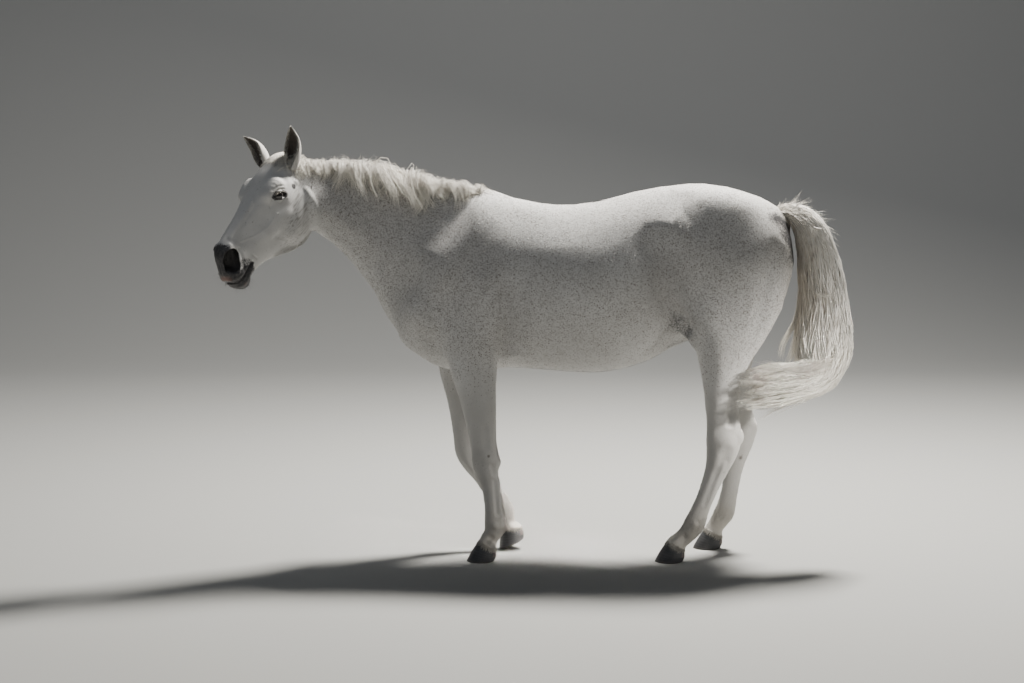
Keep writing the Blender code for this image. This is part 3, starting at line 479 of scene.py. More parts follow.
def add_weights(body, name, weights):
    """Puts the weights, in tenths, into a vertex group of their own."""
    body.vertex_groups.clear()
    group = body.vertex_groups.new(name=name)
    for level in range(1, 11):
        members = np.flatnonzero(np.round(weights * 10).astype(int) == level)
        group.add(members.tolist(), level / 10, "REPLACE")


def soften(piece, iterations, weights):
    """Smooths the skin where the weights say, which blends the masses into each other."""
    add_weights(piece, "soft", weights)
    smooth = piece.modifiers.new("Soften", "SMOOTH")
    smooth.factor = 0.5
    smooth.iterations = iterations
    smooth.vertex_group = "soft"
    apply_modifiers(piece)
    piece.vertex_groups.clear()


def stroke(points, path, radius):
    """How much of a brush stroke along the path reaches each point: 1 on it, 0 a radius away."""
    nearest = np.full(len(points), np.inf)
    if len(path) == 1:
        nearest = np.linalg.norm(points - path[0], axis=1)
    for a, b in zip(path, path[1:]):
        t = np.clip((points - a) @ (b - a) / ((b - a) @ (b - a)), 0, 1)
        nearest = np.minimum(nearest, np.linalg.norm(points - a - t[:, None] * (b - a), axis=1))
    return np.clip(1 - (nearest / radius) ** 2, 0, 1) ** 2


def folded(points):
    """The same points with both sides laid on one."""
    points = points.copy()
    points[:, 1] = np.abs(points[:, 1])
    return points


def move_points(piece, points):
    """Puts the piece's points where these rows say."""
    piece.data.vertices.foreach_set("co", points.ravel())
    piece.data.update()


def apply_strokes(body, strokes, frame, share, both_sides=True):
    """Moves the skin out or in along its normals under each stroke."""
    points = coordinates(body.data)
    normals = coordinates(body.data, "normal")
    places = folded(frame(points)) if both_sides else frame(points)
    for path, radius, height in strokes.values():
        points += normals * (stroke(places, path, radius) * share * height)[:, None]
    move_points(body, points)


def ease(values, low, high):
    """0 up to low, 1 from high on, with a smooth climb between them."""
    t = np.clip((values - low) / (high - low), 0, 1)
    return t * t * (3 - 2 * t)


def new_piece(name, points, faces):
    """A mesh object from points that are measured from under the withers."""
    mesh = bpy.data.meshes.new(name)
    mesh.from_pydata((np.asarray(points, float) + HERE).tolist(), [], [list(face) for face in faces])
    mesh.shade_smooth()
    return in_scene(name, mesh)


def choose_only(piece):
    """Selects this piece and nothing else, and makes it the active one."""
    bpy.ops.object.select_all(action="DESELECT")
    piece.select_set(True)
    bpy.context.view_layer.objects.active = piece


def apply_modifiers(piece):
    """Makes what the piece's modifiers show its own mesh."""
    choose_only(piece)
    for modifier in list(piece.modifiers):
        bpy.ops.object.modifier_apply(modifier=modifier.name)


def finer(piece, chosen):
    """Halves the skin's squares where the points are chosen."""
    choose_only(piece)
    bpy.ops.object.mode_set(mode="EDIT")
    bpy.ops.mesh.select_all(action="DESELECT")
    bpy.ops.object.mode_set(mode="OBJECT")
    corners = np.zeros(len(piece.data.loops), dtype=np.int64)
    piece.data.loops.foreach_get("vertex_index", corners)
    starts = np.zeros(len(piece.data.polygons), dtype=np.int64)
    piece.data.polygons.foreach_get("loop_start", starts)
    piece.data.polygons.foreach_set("select", np.logical_and.reduceat(chosen[corners], starts))
    bpy.ops.object.mode_set(mode="EDIT")
    bpy.ops.mesh.subdivide(number_cuts=1, smoothness=0, quadcorner="INNERVERT")
    bpy.ops.object.mode_set(mode="OBJECT")


clay = [trunk_mesh(), neck_mesh(), head_mesh()]
for name, (side, stations) in LEGS.items():
    clay.append(limb_mesh(name, stations, SIDES[side]))
for line in MASSES.strip().splitlines():
    name, *numbers, tilt = line.split()
    sizes = metres(numbers)
    clay += [mass_mesh(name, sizes[:3], sizes[3:], float(tilt), sign) for sign in SIDES.values()]
lumps = [in_scene(mesh.name, mesh) for mesh in clay]
skin = lumps[0]
skin.name = "skin"
choose_only(skin)
for lump in lumps:
    lump.select_set(True)
bpy.ops.object.join()
merge = skin.modifiers.new("Merge", "REMESH")
merge.mode = "VOXEL"
merge.voxel_size = GRID
apply_modifiers(skin)

points = coordinates(skin.data)
in_body = 1 - share_in_head(points)
soften(skin, 60, np.clip(np.clip((points[:, 2] - 0.74) / 0.14, 0, 1) * in_body + 0.06, 0, 1))
apply_strokes(skin, BODY_STROKES, body_frame, 1 - share_in_head(coordinates(skin.data)))
apply_strokes(skin, HEAD_STROKES, head_frame, share_in_head(coordinates(skin.data)))
points = coordinates(skin.data)
soften(skin, 10, np.where(share_in_head(points) > 0.5, 0.4, 0.7))
soften(skin, 20, 0.7 * np.clip((points[:, 2] - 0.8) / 0.14, 0, 1) * (1 - share_in_head(points)))

# -------- the skin's finer forms
# The head is carved to about two millimetres: eye sockets and lids, nostrils, lips, cheek veins and the folds over
# the eyes. The legs get their tendons, joints and coronets, and the body the veins and folds of thin summer skin.
EYE_RADIUS = 0.023
EYE_PLACE = np.array([0.198, 0.0865, -0.052])  # down the face, sideways, out of the forehead
EYE_SLANT = math.radians(36)  # of the line through its corners, against the face
EYE_LONG, EYE_HIGH, EYE_LOW = 0.029, 0.0155, 0.0135  # half length, and reach of the upper and lower lid
LID = 0.003
LEG_TOP = 0.62  # below it the skin is made finer

points = coordinates(skin.data)
finer(skin, (share_in_head(points) > 0.3) | (points[:, 2] < LEG_TOP))
points = coordinates(skin.data)
soften(skin, 14, np.where(share_in_head(points) > 0.2, 0.9, np.where(points[:, 2] < LEG_TOP, 0.5, 0.0)))
points = coordinates(skin.data)
finer(skin, share_in_head(points) > 0.5)
points = coordinates(skin.data)
soften(skin, 5, np.where(share_in_head(points) > 0.5, 0.8, 0.0))

FINE_HEAD_STROKES = brush_strokes("""
nostril_wing 20 5 | 486 46 -20  512 60 -30  548 66 -66
nostril_back 16 6 | 500 58 -52  520 62 -85  545 58 -112
nose_fold 12 -4 | 470 56 -60  492 60 -100  520 58 -132
upper_lip 14 4 | 500 52 -134  560 40 -128  590 0 -120
lower_lip 22 4 | 490 50 -176  545 42 -176  570 0 -170
mouth 7 -6 | 470 58 -152  505 56 -150  545 48 -150  590 0 -142
mouth_corner 11 -6 | 466 58 -151
corner_fold 7 -2 | 446 60 -128  440 58 -160
philtrum 8 -2 | 555 0 -60  590 0 -110
cheek_vein 8 1.2 | 300 90 -130  330 80 -170  300 74 -230
face_vein 8 1.2 | 260 96 -90  320 82 -100  390 66 -80  440 52 -50
jaw_edge 20 7 | 90 82 -150  105 76 -232  165 66 -296  240 58 -310
throat_groove 30 -6 | 55 85 -120  66 85 -190  85 80 -250  130 70 -305
cheek_muscle 45 6 | 120 95 -150  200 100 -175  265 90 -200
jaw_joint 18 4 | 95 94 -85
nasal_bone 18 4 | 280 34 0  450 28 -12
lid_crease 6 -2.2 | 165 90 -50  182 98 -30  215 94 -24
lid_crease_high 6 -1.6 | 158 88 -38  178 94 -18  210 88 -12
tear_fold 7 -1.8 | 236 100 -40  262 94 -52
chin_crease 8 -2 | 492 45 -188  505 0 -200
lip_wrinkle 6 -1.6 | 480 55 -120  500 55 -136
lip_wrinkle_low 6 -1.4 | 466 55 -128  484 55 -146
under_eye_fold 6 -1.8 | 190 104 -86  222 102 -72
""")
FINE_BODY_STROKES = brush_strokes("""
behind_jaw 45 -10 | -920 100 1527  -900 100 1447
fore_tendon 14 3 | -128 130 340  -122 130 180
forearm_vein 9 2 | -290 105 800  -240 92 640  -225 95 520
stifle_fold 24 8 | 560 250 1200  612 240 1090  640 230 1000
groin_crease 30 -14 | 580 250 1040  604 240 985  616 225 950
thigh_seam 18 -5 | 945 225 1200  925 225 1080  880 215 960
elbow_fold 22 -5 | -120 205 960  -108 180 860
shoulder_edge 30 2 | -230 170 1380  -330 215 1220  -440 225 1080
windpipe 30 4 | -880 0 1380  -740 0 1230  -660 0 1120
""")
# Strokes of the left legs: the joints' bones, the hollows between them and the tendons behind the cannon bones. On
# the right legs they are shifted along with the leg, the more the lower they lie.
HIND_STROKES = brush_strokes("""
hock_hollow 28 -12 | 822 190 720  818 190 580
hock_cord 16 3 | 846 165 720  856 158 545
hock_point 46 12 | 868 145 525
hock_bone 55 6 | 800 196 500
hock_front_hollow 34 -5 | 800 190 470  790 190 430
shank_groove 17 -2 | 770 182 410  714 172 245
shank_cord 16 2 | 790 172 420  730 166 235
fetlock_bone 22 4 | 672 176 160
pastern_hollow 22 -4 | 632 176 105
""")
FORE_STROKES = brush_strokes("""
forearm_hollow 22 -5 | -190 180 560  -185 176 480
knee_bone 34 4 | -135 140 415
knee_front 24 3 | -240 140 425  -236 140 390
knee_side 34 5 | -190 178 435
knee_groove 18 -5 | -160 172 400  -150 168 370
cannon_groove 12 -4 | -152 160 340  -142 158 200
cannon_cord 11 3 | -134 150 340  -122 150 190
fetlock_bone 22 4 | -150 168 152
pastern_hollow 20 -4 | -168 168 100
""")
HOCK_HEIGHT, KNEE_HEIGHT = 0.5, 0.42


def on_leg(path, sign, shift, slope, top, lowest):
    """A stroke's path on the left or right leg, where slope says how far it moves back for each metre down."""
    return [(x + shift + slope * max(lowest, top - z), sign * y, z) for x, y, z in path]


LEG_STROKES = {}
for leg, sign, shift, slope, strength in (("left", -1, 0.0, 0.0, 1.0), ("right", 1, 0.096, 0.1, 0.55)):
    for name, (path, radius, height) in HIND_STROKES.items():
        path = on_leg(path, sign, shift, slope, HOCK_HEIGHT, -1.0)
        LEG_STROKES[f"{name}_hind_{leg}"] = (path, radius, height * strength)
for leg, sign, shift, slope in (("left", -1, 0.0, 0.0), ("right", 1, -0.072, 0.46)):
    for name, (path, radius, height) in FORE_STROKES.items():
        LEG_STROKES[f"{name}_fore_{leg}"] = (on_leg(path, sign, shift, slope, KNEE_HEIGHT, 0.0), radius, height)


def from_head_frame(local):
    """Points of the head's frame, in the horse's frame."""
    return local @ HEAD_AXES + np.array(POLL)


def from_body_frame(straight):
    """Points of the straightened body, with the neck's bend put back."""
    points = np.array(straight, float)
    points[:, 1] -= neck_shift(points)
    return points


def triangles(mesh):
    """The corner numbers of the mesh's triangles."""
    mesh.calc_loop_triangles()
    corners = np.zeros(len(mesh.loop_triangles) * 3, dtype=np.int64)
    mesh.loop_triangles.foreach_get("vertices", corners)
    return corners.reshape(-1, 3)


def settled(strokes, to_world, frame):
    """The same strokes with their paths laid down on the skin as it is now."""
    tree = BVHTree.FromPolygons(coordinates(skin.data).tolist(), triangles(skin.data).tolist())
    laid = {}
    for name, (path, radius, height) in strokes.items():
        path = np.array(path, float)
        if len(path) > 1:
            reach = np.concatenate([[0], np.cumsum(np.linalg.norm(np.diff(path, axis=0), axis=1))])
            even = np.linspace(0, reach[-1], max(2, int(reach[-1] / 0.01)))
            path = np.stack([np.interp(even, reach, path[:, k]) for k in range(3)], axis=1)
        nearest = np.array([list(tree.find_nearest(Vector(place))[0]) for place in to_world(path).tolist()])
        laid[name] = (frame(nearest), radius, height)
    return laid


apply_strokes(skin, settled(FINE_BODY_STROKES, from_body_frame, body_frame), body_frame,
              1 - share_in_head(coordinates(skin.data)))
apply_strokes(skin, settled(LEG_STROKES, from_body_frame, body_frame), body_frame,
              ease(0.8 - coordinates(skin.data)[:, 2], 0.0, 0.05), both_sides=False)
apply_strokes(skin, settled(FINE_HEAD_STROKES, from_head_frame, head_frame), head_frame,
              share_in_head(coordinates(skin.data)))


NOSTRIL = np.array([(0.514, 0.056, -0.056), (0.53, 0.06, -0.068), (0.541, 0.056, -0.084)])
NOSTRIL_REACH = 0.037
FLAT = np.array([1.0, 0.0, 1.0])  # leaves out the distance sideways


def carve_nostrils(local):
    """A deep oval with a turned-in lower end, driven up and back into the muzzle on each side."""
    within = np.zeros(len(local))
    for sign in (-1, 1):
        mirrored = local * (1, sign, 1)
        reach = stroke(mirrored * FLAT, NOSTRIL * FLAT, NOSTRIL_REACH) * (mirrored[:, 1] > 0.025)
        depth = ease(reach, 0.04, 0.62)
        local = local + depth[:, None] * np.array([-0.02, -sign * 0.03, 0.0])
        within = np.maximum(within, ease(depth, 0.06, 0.34))
    return local, within


def eye_plane(local, sign):
    """Places round one eye: along its corners, towards its upper lid, and out of the head."""
    down, aside, out = EYE_PLACE
    along, across = local[:, 0] - down, local[:, 2] - out
    long_way = along * math.cos(EYE_SLANT) + across * math.sin(EYE_SLANT)
    high_way = across * math.cos(EYE_SLANT) - along * math.sin(EYE_SLANT)
    return long_way, high_way, sign * local[:, 1] - aside


def opening_share(long_way, high_way):
    """0 at the middle of the eye's opening, 1 on the lids' edges: almond-shaped, pointed at both corners."""
    share_along = np.clip(np.abs(long_way) / EYE_LONG, 0, 2)
    reach = np.where(high_way > 0, EYE_HIGH, EYE_LOW) * np.clip(1 - share_along**2, 0.02, 1) ** 0.8
    return np.maximum(np.abs(high_way) / reach, share_along)


def shape_eyes(local):
    """Lids wrapped over each ball, and a pit between them in which the ball lies."""
    for sign in (-1, 1):
        long_way, high_way, outwards = eye_plane(local, sign)
        apart = np.hypot(long_way, high_way)
        near = (apart < 0.055) & (sign * local[:, 1] > 0.03)
        share = opening_share(long_way, high_way)
        dome = np.sqrt(np.clip((EYE_RADIUS + LID) ** 2 - apart**2, 0, None))
        ball = np.sqrt(np.clip(EYE_RADIUS**2 - apart**2, 0, None)) - 0.005
        blend = ease(share, 1.0, 2.1)
        over_ball = np.maximum(outwards * blend + dome * (1 - blend), outwards * 0.5 + dome * 0.5)
        lid = np.where(apart < EYE_RADIUS + LID - 0.002, over_ball, outwards)
        lid = np.where(share > 2.1, outwards, lid)
        target = np.where(share < 1.0, ball, lid)
        moved = np.where(near, target, outwards)
        local[:, 1] = sign * (moved + EYE_PLACE[1]) * near + local[:, 1] * ~near
    return local


points = coordinates(skin.data)
in_head = share_in_head(points) > 0.5
local = head_frame(points)
in_nostril = np.zeros(len(points))
local[in_head], in_nostril[in_head] = carve_nostrils(local[in_head])
skin.data.attributes.new("nostril", "FLOAT", "POINT").data.foreach_set("value", in_nostril)
local[in_head] = shape_eyes(local[in_head])
points[in_head] = from_head_frame(local)[in_head]
move_points(skin, points)
soften(skin, 2, np.where(in_head, 0.5, 0.0))

# The coronets swell to the tops of the hooves.
HOOF_LENGTH = 0.122
HOOF_WIDTH = {"fore": 0.122, "hind": 0.112}
CORONET_BACK = 0.087  # its centre behind the toe
CORONET_HEIGHT = 0.062
CORONET_SLOPE = math.radians(29)
CORONET_LENGTH = 0.084
CORONET_WIDTH = 0.75  # of the sole's
TOE_TILT = math.radians(24)  # of the resting forefoot
TOE_WORN = 0.0012  # how much of its toe the floor takes off flat
TOES = {"fore_left": -0.27, "fore_right": -0.135, "hind_left": 0.51, "hind_right": 0.694}
BESIDE = {"fore": 0.13, "hind": 0.14}
feet = {}
for foot, toe_x in TOES.items():
    kind, side = foot.split("_")
    resting = foot == "fore_right"
    place = Matrix.Translation((toe_x, SIDES[side] * BESIDE[kind], -TOE_WORN if resting else 0.0))
    place = place @ Matrix.Rotation(-TOE_TILT if resting else 0.0, 4, "Y")
    feet[foot] = (np.array(place.to_3x3()), np.array(place.translation), kind, resting)

points = coordinates(skin.data)
for turn, offset, kind, _ in feet.values():
    local = (points - offset) @ turn - (CORONET_BACK, 0, CORONET_HEIGHT)
    back_way = local[:, 0] * math.cos(CORONET_SLOPE) - local[:, 2] * math.sin(CORONET_SLOPE)
    over = local[:, 0] * math.sin(CORONET_SLOPE) + local[:, 2] * math.cos(CORONET_SLOPE)
    half_wide = HOOF_WIDTH[kind] / 2 * CORONET_WIDTH
    share = np.hypot(back_way / (CORONET_LENGTH / 2), local[:, 1] / half_wide)
    chosen = (share > 0.45) & (share < 1.7) & (over > -0.07) & (over < 0.04)
    target = np.where(over < -0.006, np.minimum(share, 0.9), 1.0)
    grow = np.where(chosen, (target / np.maximum(share, 0.3) - 1) * (1 - ease(over, 0.0, 0.038)), 0.0)
    swell = 0.0025 * np.exp(-((over - 0.004) / 0.008) ** 2) * chosen
    back_new = back_way * (1 + grow) + swell * np.sign(back_way)
    local[:, 1] *= 1 + grow
    moved = np.stack([back_new * math.cos(CORONET_SLOPE) + over * math.sin(CORONET_SLOPE), local[:, 1],
                      over * math.cos(CORONET_SLOPE) - back_new * math.sin(CORONET_SLOPE)], axis=1)
    points = np.where(chosen[:, None], (moved + (CORONET_BACK, 0, CORONET_HEIGHT)) @ turn.T + offset, points)
move_points(skin, points)

# -------- markings
# Dark slate skin shows through on the muzzle, round the eyes, in the nostrils and under the dock, with pink at the
# tip of the lip. Small grey-brown flecks lie thick on the neck, shoulder, barrel and haunch, and the joints are a
# darker grey. Painted shade darkens the lower legs, the folds of the flank, elbow and groin, a dimple by the shoulder,
# the deep nostrils, the hollow behind the left eye and the top of the dock, and lies in streaks on the cheeks and neck.
COAT_DEPTH = 0.0022
SKIN_TRIANGLES = 194000

DARK_SKIN = brush_strokes("""
muzzle_front 58 1000 | 535 0 -8  570 0 -60  594 0 -125
muzzle_middle 38 1000 | 545 0 -50  564 0 -105
upper_lip 32 1000 | 568 0 -115  535 0 -138  505 0 -150
mouth_corner 13 1000 | 470 0 -152  482 0 -154
mouth 22 1000 | 484 0 -156  520 0 -158  575 0 -150
lower_lip 52 1000 | 505 0 -186  560 0 -180
chin 50 1000 | 522 0 -207
muzzle_edge 30 500 | 500 0 -112  486 0 -138
""")
# Dark skin under the dock, and painted shadow beside the top of the dock.
DARK_DOCK_SKIN_AND_SHADOW = brush_strokes("""
dock_top 34 950 | 1012 0 1405  1040 0 1375
under_dock 34 1000 | 1052 0 1350  1078 0 1320  1085 0 1250
""")
# Dark skin between the thighs, and in the crease of the groin dark skin with painted shade over it.
DARK_BODY_SKIN_AND_GROIN_SHADE = brush_strokes("""
between_thighs 110 450 | 640 60 900  720 0 960
groin 56 420 | 600 205 1000  618 170 955
""")
PINK_SKIN = brush_strokes("""
nose_tip 24 600 | 594 0 -112
lower_lip 12 150 | 550 0 -182
""")
# Darker patches on the joints, neck, gaskin and thigh, and painted shade in the folds of the flank, elbow and groin.
DARKER_AND_FOLD_SHADE = brush_strokes("""
knee 75 160 | -200 150 430  -195 150 370
hock 85 160 | 790 170 500  765 170 430
fore_fetlock 90 120 | -150 130 150  -190 130 80
hind_fetlock 100 120 | 660 140 150  600 140 80
neck 260 130 | -860 90 1560  -700 100 1440  -540 150 1330  -300 230 1280
flank 120 250 | 540 250 1200  600 240 980
elbow 70 220 | -110 220 1100  -105 180 860
gaskin 150 120 | 820 150 900  800 150 600
groin 50 600 | 600 240 1000  625 225 950
thigh 160 80 | 640 250 1300  860 240 1250
""")
# Painted shade in the hollow behind the left eye.
LEFT_EYE_HOLLOW_SHADE = brush_strokes("""
behind_eye 15 1000 | 122 0 -83
""")
# Dark streaks along the lie of the hair on the cheeks and on the neck behind the ear: painted shade between the hair's
# lines.
CHEEK_STREAKS = brush_strokes("""
cheek 110 1000 | 100 80 -160  200 90 -190  250 80 -240
""")
NECK_STREAKS = brush_strokes("""
neck 110 750 | -900 90 1520  -800 100 1480  -700 110 1430
""")
# Small dark spots in the coat, as x, y, z and radius; the first is painted shade in the dimple by the point of the
# shoulder.
SPOTS = table("""
-452 -200 960 15
-182 -175 705 11
-176 -175 445 10
893 110 392 13
-620 -120 1300 7
420 -290 1220 6
""")


def painted(points, strokes, seen_from=np.ones(3)):
    """How much colour the strokes leave on each point."""
    covered = np.zeros(len(points))
    for path, radius, strength in strokes.values():
        reach = stroke(points * seen_from, path * seen_from, radius)
        covered = np.maximum(covered, np.clip(reach * 1.8, 0, 1) * strength)
    return covered


def markings(points):
    """Three values each: dark skin and painted shade, pink skin, flecks; darker patches and painted shade, yellowing,
    painted nostril shade; streaks, in the head, low legs.

    The place in the head's frame comes last.
    """
    in_head = share_in_head(points)
    local = head_frame(points)
    sides, body = folded(local), folded(body_frame(points))
    dark_skin_and_shade_on_body = np.maximum(painted(body, DARK_DOCK_SKIN_AND_SHADOW, FLAT), painted(body, DARK_BODY_SKIN_AND_GROIN_SHADE))
    dark = painted(sides, DARK_SKIN, FLAT) * in_head + dark_skin_and_shade_on_body * (1 - in_head)
    nostril_shade = np.zeros(len(points))
    for sign in (-1, 1):
        long_way, high_way, _ = eye_plane(local, sign)
        near = in_head * (sign * local[:, 1] > 0.03)
        apart = np.hypot((long_way - 0.001) / EYE_LONG, high_way / np.where(high_way > 0, EYE_HIGH, EYE_LOW))
        dark = np.maximum(dark, (1 - ease(apart, 1.05, 1.6)) * near)
    dark = np.maximum(dark, painted(local, LEFT_EYE_HOLLOW_SHADE, FLAT) * in_head * (local[:, 1] > 0))
    pink = painted(sides, PINK_SKIN, FLAT) * in_head
    flecks = ease(points[:, 2], 0.62, 1.05) * (1 - in_head)
    flecks = flecks * (0.7 + 0.3 * ease(np.sin(points[:, 0] * 5.1 + points[:, 2] * 3.0), -0.4, 0.8)) + 0.03 * in_head
    darker_and_fold_shade = painted(body, DARKER_AND_FOLD_SHADE) * (1 - in_head)
    for *place, radius in SPOTS:
        darker_and_fold_shade = np.maximum(darker_and_fold_shade, np.clip(stroke(points, [place], radius) * 2.0, 0, 1) * 1.3)
    yellow = ease(0.3 - points[:, 2], 0.0, 0.22) * 0.8 + ease(points[:, 0], 0.93, 1.08) * 0.5
    streaks = np.maximum(painted(sides, CHEEK_STREAKS) * in_head, painted(body, NECK_STREAKS) * (1 - in_head))
    regions = np.stack([streaks, in_head, ease(0.8 - points[:, 2], 0.0, 0.16)], axis=1)
    return np.stack([dark, pink, flecks], axis=1), np.stack([darker_and_fold_shade, yellow, nostril_shade], axis=1), regions, local


MARKS = ("marks", "tones", "regions", "face")


def add_vectors(piece, name, values):
    """Stores three values at each point, under a name that materials read."""
    made = piece.data.attributes.new(name, "FLOAT_VECTOR", "POINT")
    made.data.foreach_set("vector", np.ascontiguousarray(values, float).ravel())


points = coordinates(skin.data)
coarse = np.where(share_in_head(points) > 0.5, 0.12, np.where(points[:, 2] < LEG_TOP, 0.6, 1.0))
add_weights(skin, "coarse", coarse)
thin = skin.modifiers.new("Thin", "DECIMATE")
thin.ratio = SKIN_TRIANGLES / sum(len(face.vertices) - 2 for face in skin.data.polygons)
thin.vertex_group = "coarse"
thin.vertex_group_factor = 0.3
apply_modifiers(skin)
skin.vertex_groups.clear()
points = coordinates(skin.data)
depth = np.where(share_in_head(points) > 0.5, 0.4, 1.0) * COAT_DEPTH
points -= coordinates(skin.data, "normal") * depth[:, None]
move_points(skin, points)
skin.data.shade_smooth()
skin_points = coordinates(skin.data)
skin_normals = coordinates(skin.data, "normal")
skin_triangles = triangles(skin.data)
nostril = np.zeros(len(skin_points))
skin.data.attributes["nostril"].data.foreach_get("value", nostril)
marks, tones, regions, face = markings(skin_points)
marks[:, 0], tones[:, 2] = np.maximum(marks[:, 0], nostril), nostril
for name, values in zip(("place",) + MARKS, (skin_points, marks, tones, regions, face)):
    add_vectors(skin, name, values)
surface = BVHTree.FromPolygons(skin_points.tolist(), skin_triangles.tolist())


class Value:
    """A shader socket that can be reckoned with: each operator adds its Math node."""

    def __init__(self, paint, socket):
        self.paint, self.socket = paint, socket

    def maths(self, operation, *values):
        """The result of a Math node on these values."""
        return self.paint.node("ShaderNodeMath", {"operation": operation}, values)

    __add__ = __radd__ = lambda self, other: self.maths("ADD", self, other)
    __mul__ = __rmul__ = lambda self, other: self.maths("MULTIPLY", self, other)
    __sub__ = lambda self, other: self.maths("SUBTRACT", self, other)
    __rsub__ = lambda self, other: self.maths("SUBTRACT", other, self)
    __pow__ = lambda self, other: self.maths("POWER", self, other)

    def clamped(self):
        """The same value, kept from 0 to 1."""
        return self.maths("MINIMUM", self.maths("MAXIMUM", self, 0.0), 1.0)


class Paint:
    """A Principled material that is put together node by node."""

    def __init__(self, name, roughness=0.6, **settings):
        self.material = bpy.data.materials.new(name)
        self.material.use_nodes = True
        self.tree = self.material.node_tree
        self.shader = self.tree.nodes["Principled BSDF"]
        self.shader.inputs["Roughness"].default_value = roughness
        for socket, value in settings.items():
            self.shader.inputs[socket.replace("_", " ").title().replace("Ior", "IOR")].default_value = value

    def node(self, kind, settings=None, inputs=(), output=0):
        """Any other node: its settings first, then its sockets' values or links."""
        made = self.tree.nodes.new(kind)
        for key, value in (settings or {}).items():
            setattr(made, key, value)
        for key, value in inputs.items() if isinstance(inputs, dict) else enumerate(inputs):
            self.put(made.inputs[key], value)
        return Value(self, made.outputs[output])

    def put(self, socket, value):
        """Links a value to the socket, or sets a plain one on it."""
        if isinstance(value, Value):
            self.tree.links.new(value.socket, socket)
        else:
            socket.default_value = value

    def set(self, name, value):
        """Feeds one of the shader's own sockets."""
        self.put(self.shader.inputs[name], value)

    def stored(self, name, part=None):
        """What the piece stores at each point, whole or one of its three parts."""
        vector = self.node("ShaderNodeAttribute", {"attribute_name": name}, output="Vector")
        return vector if part is None else self.node("ShaderNodeSeparateXYZ", None, [vector], part)

    def place(self):
        """The place on the object."""
        return self.node("ShaderNodeTexCoord", output="Object")

    def noise(self, vector, scale, detail=2.0, roughness=0.5):
        """Soft noise from 0 to 1."""
        inputs = {"Vector": vector, "Scale": scale, "Detail": detail, "Roughness": roughness}
        return self.node("ShaderNodeTexNoise", None, inputs)

    def stretched(self, vector, scale, turn=(0, 0, 0)):
        """A pattern's coordinates, turned and scaled its own way on each axis."""
        return self.node("ShaderNodeMapping", None, {"Vector": vector, "Rotation": turn, "Scale": scale})

    def blend(self, factor, first, second, how="MIX"):
        """A colour between the first and the second."""
        made = self.tree.nodes.new("ShaderNodeMix")
        made.data_type, made.blend_type = "RGBA", how
        for socket, value in zip((made.inputs[0], made.inputs[6], made.inputs[7]), (factor, first, second)):
            self.put(socket, (*value, 1.0) if isinstance(value, tuple) and len(value) == 3 else value)
        return Value(self, made.outputs[2])

    def bump(self, height, distance, strength=1.0):
        """A normal that follows the height."""
        return self.node("ShaderNodeBump", None, {"Height": height, "Distance": distance, "Strength": strength})


# Flecks from large to small: cells in a metre, reach in a cell, how many of the cells have one, and how dark.
FLECK_SIZES = ((70.0, 0.23, 0.95, 0.75), (112.0, 0.31, 1.35, 0.7), (175.0, 0.4, 1.5, 0.6))


